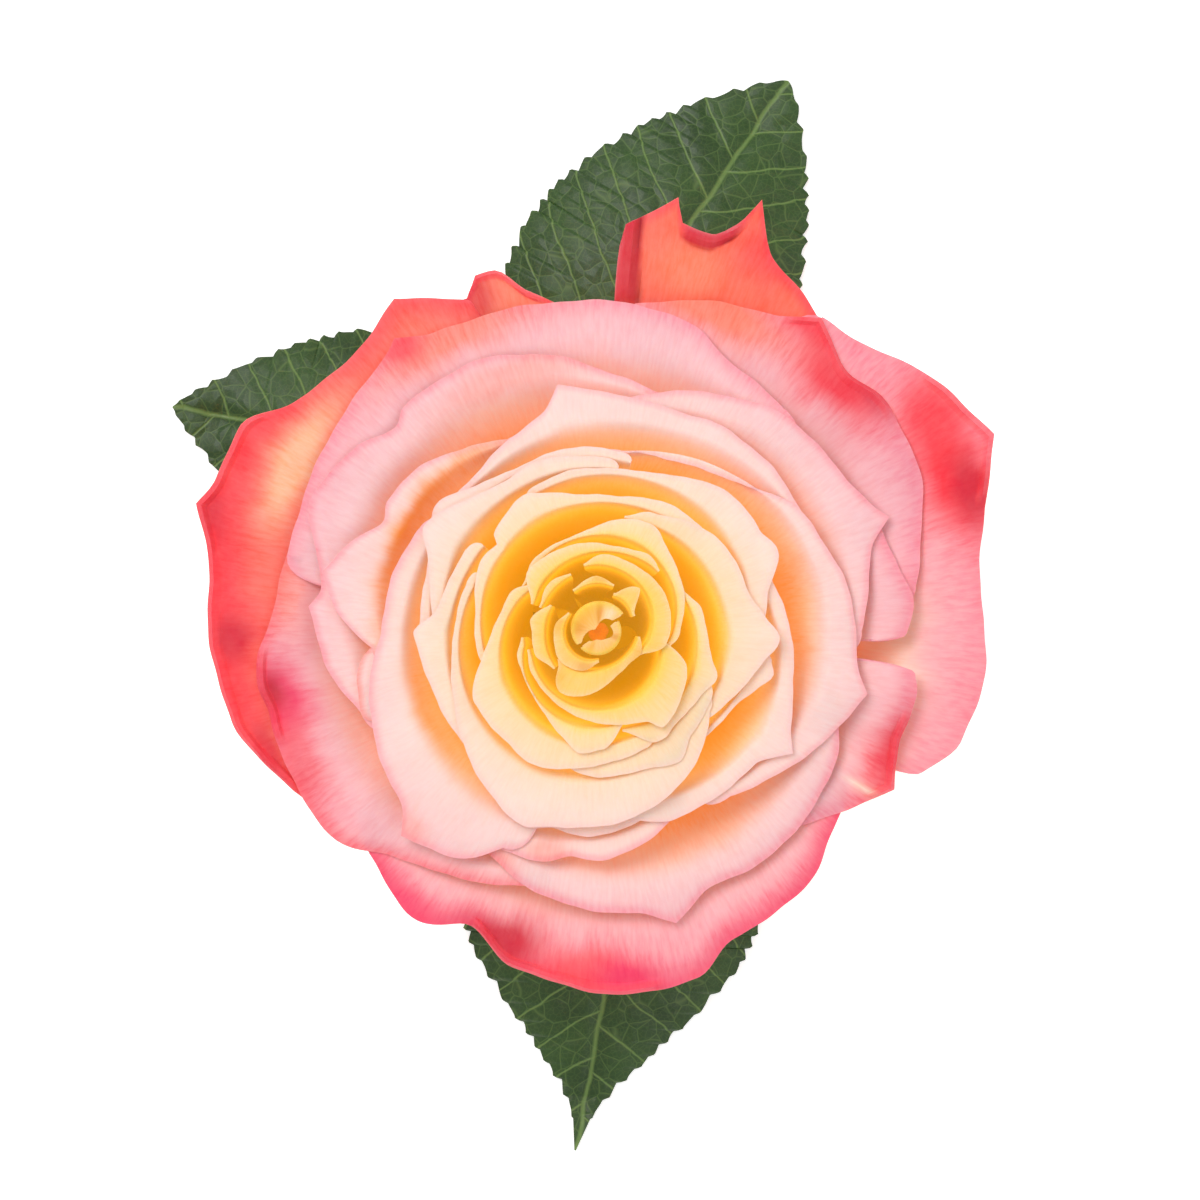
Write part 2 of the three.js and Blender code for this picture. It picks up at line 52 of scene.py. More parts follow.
# %% [markdown]
# ## Sizes and the bloom's axis
# The stem stands under the middle of the bloom, so its box gives the axis that every petal turns
# round. Shapes are worked out in millimetres and degrees, which suits a flower, and written to the
# meshes in metres.

# %% The axis
MM = 0.001
stem_low, stem_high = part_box("stem")
AXIS_X = (stem_low[0] + stem_high[0]) / 2
AXIS_Y = (stem_low[1] + stem_high[1]) / 2
STEM_RADIUS = (stem_high[0] - stem_low[0]) / 2 / MM
HIP_HEIGHT = 20.0  # the hip's widest place
HIP_RADIUS = 9.0  # the dome that the petals stand on
BLOOM_TOP = 57.0
print("bloom's axis", round(AXIS_X, 5), round(AXIS_Y, 5))

# %% [markdown]
# ## Helpers for the bench
# A petal, leaf or sepal starts as a flat grid, as a florist's paper petal starts as a flat cut.
# Each of its points is then moved to its place on the flower, the sheet gets a thickness from
# Solidify, and edges stay crisp while the rest is shaded smooth.


# %% Small helpers
def smooth(x):
    x = np.clip(x, 0.0, 1.0)
    return x * x * (3 - 2 * x)


def linear(rgb):
    """A colour given as 0 to 255 screen values, as linear values."""
    c = np.asarray(rgb, float) / 255
    return np.where(c <= 0.04045, c / 12.92, ((c + 0.055) / 1.055) ** 2.4)


def mix(a, b, share):
    share = np.asarray(share)[..., None]
    return np.asarray(a) * (1 - share) + np.asarray(b) * share


def deselect_all():
    if bpy.context.object and bpy.context.object.mode != "OBJECT":
        bpy.ops.object.mode_set(mode="OBJECT")
    bpy.ops.object.select_all(action="DESELECT")


def select_only(piece):
    deselect_all()
    piece.select_set(True)
    bpy.context.view_layer.objects.active = piece


def apply_modifier(piece, kind, name, **settings):
    bpy.context.view_layer.objects.active = piece
    modifier = piece.modifiers.new(name, kind)
    for key, value in settings.items():
        setattr(modifier, key, value)
    bpy.ops.object.modifier_apply(modifier=modifier.name)


def shaped_sheet(name, points, flat):
    """A grid primitive whose points are laid on the given rows and columns of millimetre points,
    with the flat pattern as its UV map."""
    rows, cols = points.shape[:2]
    deselect_all()
    bpy.ops.mesh.primitive_grid_add(
        x_subdivisions=cols - 1, y_subdivisions=rows - 1, size=2, calc_uvs=True)
    piece = bpy.context.object
    piece.name = name
    mesh = piece.data
    mesh.name = name
    grid = np.empty(len(mesh.vertices) * 3)
    mesh.vertices.foreach_get("co", grid)
    grid = grid.reshape(-1, 3)
    col = np.rint((grid[:, 0] + 1) / 2 * (cols - 1)).astype(int)
    row = np.rint((grid[:, 1] + 1) / 2 * (rows - 1)).astype(int)
    placed = points[row, col] * MM + np.array([AXIS_X, AXIS_Y, 0.0])
    mesh.vertices.foreach_set("co", placed.ravel())
    corner = np.empty(len(mesh.loops), int)
    mesh.loops.foreach_get("vertex_index", corner)
    uv = flat[row, col][corner]
    mesh.uv_layers[0].name = "Flat"
    mesh.uv_layers[0].data.foreach_set("uv", uv.ravel())
    mesh.update()
    return piece, row, col


def finish_sheet(piece, thickness, sharp=50):
    apply_modifier(piece, "SOLIDIFY", "Thickness",
                   thickness=thickness * MM, offset=0.0, use_even_offset=False)
    select_only(piece)
    bpy.ops.object.shade_smooth_by_angle(angle=math.radians(sharp))


def paint(piece, name, values):
    """Keeps a colour, or a number, for each point of a piece."""
    kind = "FLOAT_COLOR" if values.ndim == 2 else "FLOAT"
    layer = piece.data.attributes.new(name, kind, "POINT")
    if kind == "FLOAT_COLOR":
        rgba = np.ones((len(values), 4))
        rgba[:, :3] = values
        layer.data.foreach_set("color", rgba.ravel())
    else:
        layer.data.foreach_set("value", values)


def stands_for(piece, node, material):
    piece.data.materials.clear()
    piece.data.materials.append(material)
    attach(piece, "root")
    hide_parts(node)


# %% [markdown]
# ## Shader groups
# A finish is built from small groups that other flowers could use too: fine veins that run along
# a petal, soft mottling, and the netted veins of a leaf. Each group only gives colours, masks and
# heights; the shader itself stays in the material.


# %% Group helper
def new_group(name, inputs, outputs):
    group = bpy.data.node_groups.new(name, "ShaderNodeTree")
    for label, kind, value in inputs:
        socket = group.interface.new_socket(label, in_out="INPUT", socket_type=kind)
        if value is not None:
            socket.default_value = value
    for label, kind in outputs:
        group.interface.new_socket(label, in_out="OUTPUT", socket_type=kind)
    return group, group.nodes.new("NodeGroupInput"), group.nodes.new("NodeGroupOutput")


def put(tree, kind, links=(), **settings):
    """Adds a node, sets its values and joins its inputs. Links are (input, socket or value)."""
    node = tree.nodes.new(kind)
    for key, value in settings.items():
        setattr(node, key, value)
    for where, what in links:
        if isinstance(what, bpy.types.NodeSocket):
            tree.links.new(what, node.inputs[where])
        else:
            node.inputs[where].default_value = what
    return node


def maths(tree, operation, a, b=0.0):
    return put(tree, "ShaderNodeMath", [(0, a), (1, b)], operation=operation).outputs[0]


def times(tree, a, b):
    return maths(tree, "MULTIPLY", a, b)


def ramp_between(tree, value, low, high):
    """0 at the first limit, 1 at the second, and even between them."""
    links = [("Value", value), ("From Min", low), ("From Max", high)]
    return put(tree, "ShaderNodeMapRange", links).outputs[0]


def vector_sum(tree, a, b):
    return put(tree, "ShaderNodeVectorMath", [(0, a), (1, b)], operation="ADD").outputs[0]


def blend_colour(tree, share, a, b):
    node = put(tree, "ShaderNodeMix", [(0, share), (6, a), (7, b)], data_type="RGBA")
    return node.outputs[2]


def use_group(tree, group, links):
    node = tree.nodes.new("ShaderNodeGroup")
    node.node_tree = group
    for where, what in links:
        if isinstance(what, bpy.types.NodeSocket):
            tree.links.new(what, node.inputs[where])
        else:
            node.inputs[where].default_value = what
    return node


print("group helper ready")

# %% Petal veins
# The flat pattern runs in centimetres: U across the petal and V from claw to rim.
petal_veins, gin, gout = new_group(
    "Petal veins",
    [("Flat", "NodeSocketVector", None), ("Spacing", "NodeSocketFloat", 14.0)],
    [("Veins", "NodeSocketFloat"), ("Height", "NodeSocketFloat")],
)
t = petal_veins
drift = put(t, "ShaderNodeTexNoise", [("Vector", gin.outputs["Flat"]), ("Scale", 1.3), ("Detail", 2.0)])
sideways = put(t, "ShaderNodeVectorMath",
               [(0, drift.outputs["Color"]), (1, (0.10, 0.0, 0.0))], operation="MULTIPLY")
bent = vector_sum(t, gin.outputs["Flat"], sideways.outputs[0])
stretch = put(t, "ShaderNodeMapping", [("Vector", bent), ("Scale", (1.0, 0.16, 1.0))])
lines = put(t, "ShaderNodeTexNoise", [("Vector", stretch.outputs[0]), ("Scale", gin.outputs["Spacing"]),
                                      ("Detail", 5.0), ("Roughness", 0.62)])
broad = put(t, "ShaderNodeTexNoise", [("Vector", stretch.outputs[0]), ("Scale", 4.5), ("Detail", 2.0)])
swell = maths(t, "ADD", times(t, lines.outputs[0], 0.35), broad.outputs[0])
t.links.new(ramp_between(t, lines.outputs[0], 0.40, 0.66), gout.inputs["Veins"])
t.links.new(swell, gout.inputs["Height"])
print("petal vein nodes", len(petal_veins.nodes))

# %% Soft mottling
mottling, gin, gout = new_group(
    "Mottling",
    [("Place", "NodeSocketVector", None), ("Size", "NodeSocketFloat", 300.0)],
    [("Mottle", "NodeSocketFloat")],
)
t = mottling
cloud = put(t, "ShaderNodeTexNoise", [("Vector", gin.outputs["Place"]), ("Scale", gin.outputs["Size"]),
                                      ("Detail", 6.0), ("Roughness", 0.6)])
t.links.new(ramp_between(t, cloud.outputs[0], 0.3, 0.7), gout.inputs["Mottle"])
print("mottling nodes", len(mottling.nodes))

# %% [markdown]
# ## The leaf's veins
# A rose leaf has one midrib, side veins that leave it at a slant and curve towards the tip, and a
# fine net between them. The flat pattern holds the place along the leaf in V and across it in U,
# both in centimetres, so distances to the veins are simple sums, and Voronoi cells make the net.

# %% Leaf veins
leaf_veins, gin, gout = new_group(
    "Leaf veins",
    [("Flat", "NodeSocketVector", None), ("Pitch", "NodeSocketFloat", 0.55)],
    [("Veins", "NodeSocketFloat"), ("Net", "NodeSocketFloat"), ("Height", "NodeSocketFloat")],
)
t = leaf_veins
drift = put(t, "ShaderNodeTexNoise", [("Vector", gin.outputs["Flat"]), ("Scale", 1.6), ("Detail", 2.0)])
centred = vector_sum(t, drift.outputs["Color"], (-0.5, -0.5, 0.0))
wobble = put(t, "ShaderNodeVectorMath", [(0, centred), ("Scale", 0.16)], operation="SCALE")
place = vector_sum(t, gin.outputs["Flat"], wobble.outputs[0])
axes = put(t, "ShaderNodeSeparateXYZ", [(0, place)])
across = maths(t, "ABSOLUTE", axes.outputs[0])
lean = times(t, maths(t, "POWER", across, 1.15), 0.75)
slant = maths(t, "SUBTRACT", axes.outputs[1], lean)
side_shift = times(t, maths(t, "SIGN", axes.outputs[0]), 0.22)
phase = maths(t, "DIVIDE", maths(t, "ADD", slant, side_shift), gin.outputs["Pitch"])
away = maths(t, "ABSOLUTE", maths(t, "SUBTRACT", maths(t, "FRACT", phase), 0.5))
side_vein = ramp_between(t, away, 0.040, 0.006)
midrib = ramp_between(t, across, 0.050, 0.015)


def net_cells(size):
    links = [("Vector", place), ("Scale", size)]
    return put(t, "ShaderNodeTexVoronoi", links, feature="DISTANCE_TO_EDGE").outputs["Distance"]


cells = net_cells(4.2)
net = ramp_between(t, cells, 0.050, 0.0)
fine = ramp_between(t, net_cells(16.0), 0.10, 0.0)
main = maths(t, "MAXIMUM", side_vein, midrib)
netted = maths(t, "MAXIMUM", times(t, net, 0.8), times(t, fine, 0.35))
swell = maths(t, "MINIMUM", times(t, cells, 3.0), 1.0)
sunk = maths(t, "SUBTRACT", swell, times(t, main, 1.3))
t.links.new(main, gout.inputs["Veins"])
t.links.new(netted, gout.inputs["Net"])
t.links.new(sunk, gout.inputs["Height"])
print("shader groups", len(bpy.data.node_groups))

# %% [markdown]
# ## The petal finish
# A petal is a thin, soft sheet full of water. Light goes into it and comes out tinted, so the
# shader has some subsurface light, a broad dull gloss and a trace of sheen. Its colour is painted
# point by point further down, amber in the heart, cream and pink outside, red at the guard petals'
# edges, and the veins and mottling break it up here. A second painted value is a painted glow: the
# petals emit a little of their own colour, most in the depths, standing in for the light that has come
# through the neighbouring petals, which is what makes the depths of a rose glow.


# %% Petal material
def new_material(name):
    material = bpy.data.materials.new(name)
    material.use_nodes = True
    tree = material.node_tree
    shader = tree.nodes["Principled BSDF"]
    return material, tree, shader


def petal_material(name, vein_strength):
    material, tree, shader = new_material(name)
    paint_in = put(tree, "ShaderNodeAttribute", attribute_name="petal_colour")
    flat = put(tree, "ShaderNodeUVMap", uv_map="Flat")
    place = put(tree, "ShaderNodeTexCoord")
    veins = use_group(tree, petal_veins, [("Flat", flat.outputs[0]), ("Spacing", 22.0)])
    mottle = use_group(tree, mottling, [("Place", place.outputs["Object"]), ("Size", 260.0)])
    colour = paint_in.outputs["Color"]
    deep = put(tree, "ShaderNodeHueSaturation",
               [("Color", colour), ("Saturation", 1.40), ("Value", 0.93), ("Fac", 1.0)])
    pale = put(tree, "ShaderNodeHueSaturation",
               [("Color", colour), ("Saturation", 0.86), ("Value", 1.03), ("Fac", 1.0)])
    vein_share = times(tree, veins.outputs["Veins"], vein_strength)
    veined = blend_colour(tree, vein_share, colour, deep.outputs[0])
    mottled = blend_colour(tree, times(tree, mottle.outputs[0], 0.35), veined, pale.outputs[0])
    tree.links.new(mottled, shader.inputs["Base Color"])
    rough = maths(tree, "ADD", times(tree, mottle.outputs[0], 0.14), 0.5)
    tree.links.new(rough, shader.inputs["Roughness"])
    bump = put(tree, "ShaderNodeBump",
               [("Height", veins.outputs["Height"]), ("Strength", 0.22), ("Distance", 0.0005)])
    tree.links.new(bump.outputs[0], shader.inputs["Normal"])
    # Painted glow: each petal emits its own colour as strongly as its painted value says, standing in
    # for light passed through other petals
    painted_glow = put(tree, "ShaderNodeAttribute", attribute_name="petal_painted_through_light")
    tree.links.new(mottled, shader.inputs["Emission Color"])
    tree.links.new(painted_glow.outputs["Fac"], shader.inputs["Emission Strength"])
    shader.inputs["Specular IOR Level"].default_value = 0.22
    shader.inputs["Subsurface Weight"].default_value = 0.25
    shader.inputs["Subsurface Radius"].default_value = (1.0, 0.55, 0.3)
    shader.inputs["Subsurface Scale"].default_value = 0.0016
    shader.inputs["Sheen Weight"].default_value = 0.08
    return material


OUTER_PETAL = petal_material("Guard petal, satin", 0.42)
INNER_PETAL = petal_material("Heart petal, satin", 0.30)
print("petal finishes ready")

# %% [markdown]
# ## The petals' plan
# Each petal is given by its crease, the radius where its wall turns over into the lip at the
# start, middle and end, by how far its ends are tucked under its neighbours, and by the outline of
# its lip as degrees round the axis and millimetres from it. The outermost petal comes first. The
# two innermost petals fold inward, so their outlines lie inside their creases.

# %% Petal plan
PETALS = [
    ("petal_guard_top", (41, 41, 41), (6, 1), [
        (54, 48), (58, 49.8), (65, 52), (69.2, 58.5), (71, 54.5), (74, 52.2), (78.3, 52.6),
        (79.5, 55.7), (86, 51.6)
    ]),
    ("petal_guard_right", (39.2, 39.6, 39.6), (1.5, 5), [
        (336.5, 44.4), (343, 47.8), (354, 49), (368, 48.5), (378, 51.5), (386.5, 55.8), (395, 53.6),
        (402, 51.2), (409, 49.1), (414.5, 48.6)
    ]),
    ("petal_guard_small", (39, 39, 39), (1.5, 6), [
        (97, 41.8), (102, 44), (106, 47.2), (109, 47.4), (111.5, 45.2)
    ]),
    ("petal_guard_left", (37.8, 38.2, 37.6), (1.5, 8), [
        (111.5, 45), (121.5, 49.2), (133, 46.4), (143, 48), (150, 51.8), (158, 52), (162.3, 53.1),
        (170, 49.8), (182, 48.9), (194, 47.4), (202, 45), (209.5, 42.5)
    ]),
    ("petal_outer_upper_right", (36.6, 36.8, 36.2), (4, 4), [
        (8.5, 40.4), (17, 42.6), (28, 45.5), (39.7, 46.3), (45, 45.3), (54.5, 48.4), (60, 46),
        (72, 43.8), (83.5, 41.5)
    ]),
    ("petal_guard_bottom", (35.4, 35.6, 34.6), (8, 7), [
        (224, 40), (238, 42.8), (247, 40.3), (255, 43.3), (264.5, 44.5), (274, 45.7), (286, 45.3),
        (294, 42.2), (308.7, 41.5), (319, 38.9), (324, 38.1)
    ]),
    ("petal_outer_lower_right", (33.2, 33.2, 32), (8, 1.5), [
        (316, 35.2), (324, 38.3), (332, 42.2), (341, 40.2), (348.5, 40.9), (352.5, 40.2)
    ]),
    ("petal_outer_right", (34, 34.2, 34.4), (1.5, 8), [
        (359.7, 38.8), (365, 39.9), (372, 38.6), (380, 37.9)
    ]),
    ("petal_outer_left", (36, 34.4, 30.6), (6, 6), [
        (166, 40.3), (176, 41), (188.5, 43.4), (195, 42.6), (205, 42.7), (218, 42.2), (228, 38),
        (240, 35.6), (254.5, 33.1)
    ]),
    ("petal_outer_top", (33, 34.8, 34.2), (7, 4), [
        (50, 36.5), (63, 37.6), (73, 40.4), (86, 41.6), (101, 42), (119, 42.9), (124.8, 45),
        (130, 43.3), (145, 41.6), (159, 40.5), (166.5, 40.2)
    ]),
    ("petal_outer_bottom", (27.8, 31.2, 28.8), (7, 7), [
        (242.5, 30.7), (254, 33.1), (267, 34.8), (278, 35.7), (285, 37.8), (295, 35), (306, 35.5),
        (320, 34.9), (332, 33.9), (340, 32.2)
    ]),
    ("petal_ring_right", (30.4, 31.2, 26.8), (5, 6), [
        (0, 33.1), (9, 34.3), (17, 36), (21.5, 39.2), (26, 37.6), (35, 36.4), (48, 36), (60, 34),
        (72, 31.8), (82.5, 29.6)
    ]),
    ("petal_ring_top", (29.6, 32.3, 28.6), (5, 6), [
        (77, 31), (88, 32.7), (100, 35.3), (117, 37.4), (131, 37.3), (134.5, 36.2), (142, 38),
        (155, 39.7), (163, 37.2), (171.5, 35.2), (175, 36.4), (187, 34.4), (199, 31.4)
    ]),
    ("petal_ring_petaloid", (26.9, 26.9, 26.9), (5, 4), [
        (184, 28.5), (187, 29.9), (192, 30.9), (199, 31.4)
    ]),
    ("petal_ring_upper_left", (25.8, 27.4, 25.4), (7, 5), [
        (115, 26.7), (126, 28.4), (137, 30.4), (148, 31.1), (152.5, 30.2), (160, 33.1), (167.5, 35.3),
        (175, 33.1), (184, 28.4)
    ]),
    ("petal_ring_upper_right", (28.8, 25.6, 23.7), (7, 6), [
        (31, 29.6), (45, 30.1), (58, 30.1), (71, 29.4), (88, 30), (99.3, 31.5), (104, 28.3),
        (117, 26.3), (129, 24.9), (138.5, 24.6)
    ]),
    ("petal_ring_lower_left", (23.2, 24.3, 25), (6, 6), [
        (150, 25.8), (165, 26.7), (180, 27.1), (187, 28.4), (200, 30.3), (216, 32.2), (221.5, 32.8),
        (226, 35.5), (238, 33.4), (246.5, 29.5)
    ]),
    ("petal_ring_lower", (26.4, 25.6, 23.4), (5, 6), [
        (246.5, 29.8), (256, 29.6), (264, 28.3), (270, 28.6), (280, 27.4), (291, 25.3)
    ]),
    ("petal_ring_fold", (24.6, 27.8, 22.4), (7, 5), [
        (309, 26.4), (322, 28.8), (334, 31.5), (347, 34.6), (355, 32.5), (368, 32), (380, 30.6),
        (393, 29.3), (405, 25.9), (420, 23.9), (432, 23.1), (443, 22.9)
    ]),
    ("petal_mid_lower", (23.2, 23.2, 22), (6, 5), [
        (243, 25), (250, 26), (257, 25.2), (267, 25.6), (283, 24.1)
    ]),
    ("petal_mid_right", (20.8, 23.4, 20.6), (5, 6), [
        (282, 24.1), (291, 25.2), (305, 25.4), (320, 25.7), (328, 28.8), (335, 26.7), (346, 25.2),
        (360, 24.1), (376, 22.7)
    ]),
    ("petal_mid_upper_left", (21.4, 22, 20.6), (4, 6), [
        (83, 22.7), (98, 23.3), (117, 22.9), (131, 24), (142.3, 25.8), (150, 24), (165, 22.5),
        (180, 22.3)
    ]),
    ("petal_mid_left", (20.3, 20.1, 19.3), (5, 6), [
        (88, 21.8), (102, 22.4), (111, 22.7), (120, 22.1), (132, 22.9), (148.5, 25.4), (156, 23.3),
        (165, 21.7), (175, 20.8)
    ]),
    ("petal_mid_far_left", (17.7, 18.5, 19.6), (5, 5), [
        (148, 19.4), (162, 19.7), (173, 20.5), (180.3, 23), (187, 22.5), (200, 21.9), (219, 21.8)
    ]),
    ("petal_mid_upper_right", (18, 19.8, 18.9), (6, 5), [
        (5, 20.9), (13, 21.8), (25.5, 24.7), (32, 23.9), (44, 24), (57, 22.7), (70, 21.1), (86, 20.5),
        (98, 20.5), (112, 19.9)
    ]),
    ("petal_mid_far_right", (18, 18.8, 19.4), (5, 4), [
        (314, 18.7), (330, 19.3), (341, 21.2), (346.5, 22.6), (350, 22)
    ]),
    ("petal_inner_right", (16.2, 15.6, 14.6), (6, 5), [
        (320, 17.3), (335, 18.8), (350, 21), (358, 22.7), (365, 21), (375, 19.4), (392, 19.2),
        (408, 18.1), (420, 16.7), (432, 16)
    ]),
    ("petal_inner_lower", (16.4, 18.1, 14.9), (6, 6), [
        (160, 17.5), (178, 17.9), (200, 19.4), (218, 21.6), (235, 24.1), (250, 25.9), (256, 25),
        (275, 24), (295, 22), (309, 20), (325, 17)
    ]),
    ("petal_inner_top", (16.4, 15.8, 14.2), (6, 6), [
        (42, 18.4), (60, 18.3), (74, 17.5), (84, 17.1), (97, 17.3), (110, 18.5), (118.5, 19.4),
        (130, 18.5), (137, 17.7), (139, 16.7), (146, 17.1), (157, 16.6), (170, 15.5), (194, 15.2)
    ]),
    ("petal_inner_low_lip", (16.2, 15.1, 13.8), (6, 6), [
        (257, 17.5), (272, 18.1), (287, 18), (302.5, 19), (312, 17.3), (325, 16.6), (336, 16)
    ]),
    ("petal_inner_left", (9.9, 13.5, 13.5), (5, 6), [
        (148, 11.8), (165, 12.2), (181, 13.3), (194, 15), (200, 16.3), (210, 17.7), (230, 17.8),
        (243, 18.4), (258, 17.4), (275, 16.3), (300, 15.4)
    ]),
    ("petal_inner_low_right", (12.5, 12.7, 11.6), (6, 6), [
        (290, 14.8), (302, 15.6), (311, 14.9), (328, 15), (338.5, 15.9), (346, 14.7), (357, 13.7),
        (380, 13)
    ]),
    ("petal_heart_upper", (8.6, 11.9, 10.8), (5, 5), [
        (350, 9.9), (365, 10.4), (380, 11.5), (400, 12.7), (413, 13.8), (423, 15), (438, 14.4),
        (452, 13.1), (466, 12.3), (490, 12.1), (505, 11.2)
    ]),
    ("petal_heart_lower_left", (9.3, 11.6, 11.4), (6, 3), [
        (190, 10.4), (215, 10.8), (235, 12), (252, 13.9), (262, 15.2), (272, 14.6), (284, 14.2)
    ]),
    ("petal_heart_top", (10.6, 9.8, 8.8), (5, 5), [
        (50, 12.2), (65, 11.2), (80, 10.9), (96, 11.2), (118, 11.4), (137, 11.6), (152, 10.6)
    ]),
    ("petal_heart_lower_right", (8.8, 9.6, 7.6), (6, 2), [
        (200, 9.5), (225, 9.9), (250, 10.6), (275, 11.5), (299, 12.7), (304.5, 14.3), (320, 13.3),
        (336, 12.1), (347, 11), (354, 9.9)
    ]),
    ("petal_heart_right", (5.6, 7.6, 8.4), (5, 5), [
        (335, 7.9), (350, 8.6), (370, 9.2), (395, 9.6), (420, 9.5), (440, 9.7), (457, 10.2)
    ]),
    ("petal_heart_far_left", (7.8, 7.7, 7.7), (5, 3), [
        (120, 8.7), (135, 8.6), (148, 8.4), (154, 7.9)
    ]),
    ("petal_heart_left", (6.6, 6.6, 6.9), (4, 3), [
        (154, 8.8), (168, 8.6), (182, 8.2), (200, 8.3), (217, 7.9)
    ]),
    ("petal_heart_small", (6, 6.1, 5.9), (3, 3), [
        (74, 6.8), (90, 7), (104, 6.7), (118, 6.2)
    ]),
    ("petal_heart_cup", (5.8, 4.6, 5), (4, 4), [
        (218, 7.6), (229, 8.9), (244, 8.7), (262, 7.8), (278, 6.7), (296, 5.8), (316, 5.5), (334, 6),
        (350, 6.4)
    ]),
    ("petal_core_right", (4.8, 5, 5), (4, 2), [
        (28, 5.5), (38, 6.6), (47, 7.6), (62, 7.9), (66, 6.3)
    ]),
    ("petal_core_left", (4.2, 4.2, 3.5), (4, 4), [
        (150, 5), (170, 5.4), (195, 5.6), (215, 5.9), (232, 5.6), (250, 5.1), (268, 4.6)
    ]),
    ("petal_core_top", (3.9, 3.7, 3), (3, 3), [
        (40, 2.3), (62, 1.9), (95, 0.8), (135, 0.5), (175, 1.2), (208, 2.2)
    ]),
    ("petal_core_low", (2.9, 2.8, 2.9), (3, 3), [
        (226, 1.5), (262, 0.9), (315, 1.2), (355, 1.9), (386, 1.7)
    ]),
]
print("petals", len(PETALS))

# %% [markdown]
# ## The layers
# All petals follow one family of nested layers, so they can't run through each other. A layer's
# wall leaves the hip's dome square to it, curves up to its crease, and its lip runs out and down
# from there. Inner layers are tall and steep; outer ones are low and open.


# %% Layer shapes
INNER_CREASE, OUTER_CREASE = 2.0, 41.0
HEART_SLOPE = 0.42  # how fast the creases drop with radius at the heart
RIM_SLOPE = 0.50  # and out at the guard petals
LIP_SLOPE, LIP_CURL = 0.05, 0.006
CLAW_SHARE = 0.36  # of a petal's spread that its claw keeps


def layer_share(crease):
    return (crease - INNER_CREASE) / (OUTER_CREASE - INNER_CREASE)


def crease_height(crease):
    share = np.maximum(0, layer_share(crease))
    turn = 0.45  # the slope has reached its outer value by this share of the way
    eased = np.where(share < turn, share * share / (2 * turn), share - turn / 2)
    drop = (OUTER_CREASE - INNER_CREASE) * (HEART_SLOPE * share + (RIM_SLOPE - HEART_SLOPE) * eased)
    return BLOOM_TOP - 1 - drop


def wall_point(crease, q):
    """Radius and height on the wall, for q from 0 at the dome to 1 at the crease."""
    share = layer_share(crease)
    tilt = np.radians(9 + 81 * share)
    foot_r, foot_z = HIP_RADIUS * np.sin(tilt), HIP_HEIGHT + HIP_RADIUS * np.cos(tilt)
    top_r, top_z = crease, crease_height(crease)
    arrive = np.radians(88 - 62 * smooth((share - 0.3) / 0.7))
    reach = np.hypot(top_r - foot_r, top_z - foot_z)
    leave_r, leave_z = foot_r + np.sin(tilt) * reach * 0.34, foot_z + np.cos(tilt) * reach * 0.34
    come_r, come_z = top_r - np.cos(arrive) * reach * 0.36, top_z - np.sin(arrive) * reach * 0.36
    a, b, c, d = (1 - q) ** 3, 3 * q * (1 - q) ** 2, 3 * q * q * (1 - q), q**3
    radius = a * foot_r + b * leave_r + c * come_r + d * top_r
    height = a * foot_z + b * leave_z + c * come_z + d * top_z
    return radius, height


def crease_at(petal, deg):
    (first, middle, last), rim = petal[1], petal[3]
    share = np.clip((deg - rim[0][0]) / (rim[-1][0] - rim[0][0]), 0, 1)
    from_first = first * (1 - share) * (1 - 2 * share)
    from_last = last * share * (2 * share - 1)
    return from_first + middle * 4 * share * (1 - share) + from_last


print("crease heights", [round(float(crease_height(radius)), 1) for radius in (2, 20, 41)])

# %% [markdown]
# ## The rim of a petal
# A rose petal's rim is drawn with soft curves between a few sharp tips, where its two sides roll
# back and leave a point. The curve here bends smoothly through the outline's points and only
# breaks at a point that stands clearly above both its neighbours. A slight unevenness is added, and
# the small petals of the heart run out gently at both ends.


# %% Rim curve
TAPERED = (4.2, 17.0)  # petals with their middle crease between these run out gently


def rim_curve(rim, deg):
    """The outline's radius at each angle, smooth but for its sharp tips."""
    x, y = rim[:, 0], rim[:, 1]
    slope = np.diff(y) / np.diff(x)
    before = np.concatenate([[slope[0]], slope])
    after = np.concatenate([slope, [slope[-1]]])
    sharp = (before > 0) & (after < 0) & (before - after > 0.5)
    bend = np.where(before * after > 0, 2 * before * after / (before + after + 1e-9), 0.0)
    leaving = np.where(sharp, after * 1.35, bend)
    arriving = np.where(sharp, before * 1.35, bend)
    k = np.clip(np.searchsorted(x, deg) - 1, 0, len(x) - 2)
    width = x[k + 1] - x[k]
    s = np.clip((deg - x[k]) / width, 0, 1)
    h00, h10 = (1 + 2 * s) * (1 - s) ** 2, s * (1 - s) ** 2
    h01, h11 = s * s * (3 - 2 * s), s * s * (s - 1)
    return h00 * y[k] + h10 * width * leaving[k] + h01 * y[k + 1] + h11 * width * arriving[k + 1]


def rim_radius(petal, deg, seed):
    rim = np.array(petal[3], float)
    uneven = 0.10 * np.sin(deg * 0.41 + seed) + 0.05 * np.sin(deg * 0.97 + 2.3 * seed)
    radius = rim_curve(rim, deg) * (1 + uneven / 45)
    (start, first), (end, last) = rim[0], rim[-1]
    tuck_start, tuck_end = petal[2]
    crease = crease_at(petal, deg)
    for past, value in (((start - deg) / tuck_start, first), ((deg - end) / tuck_end, last)):
        low = crease + np.where(value > crease, 0.5, -0.5)
        rounded = low + (value - low) * np.sqrt(1 - np.clip(past, 0, 1) ** 2)
        radius = np.where(past > 0, rounded, radius)
    middle_crease = petal[1][1]
    if TAPERED[0] <= middle_crease < TAPERED[1]:
        taper = np.interp(middle_crease, [4, 10, 17], [26.0, 17.0, 9.0])
        near_end = np.minimum(deg - start + tuck_start, end + tuck_end - deg)
        full = np.where(deg < start, first, np.where(deg > end, last, radius))
        low = crease + 0.25
        radius = low + (full - low) * smooth(near_end / taper) ** 0.8
    return radius


print("tapered petals", sum(TAPERED[0] <= petal[1][1] < TAPERED[1] for petal in PETALS))

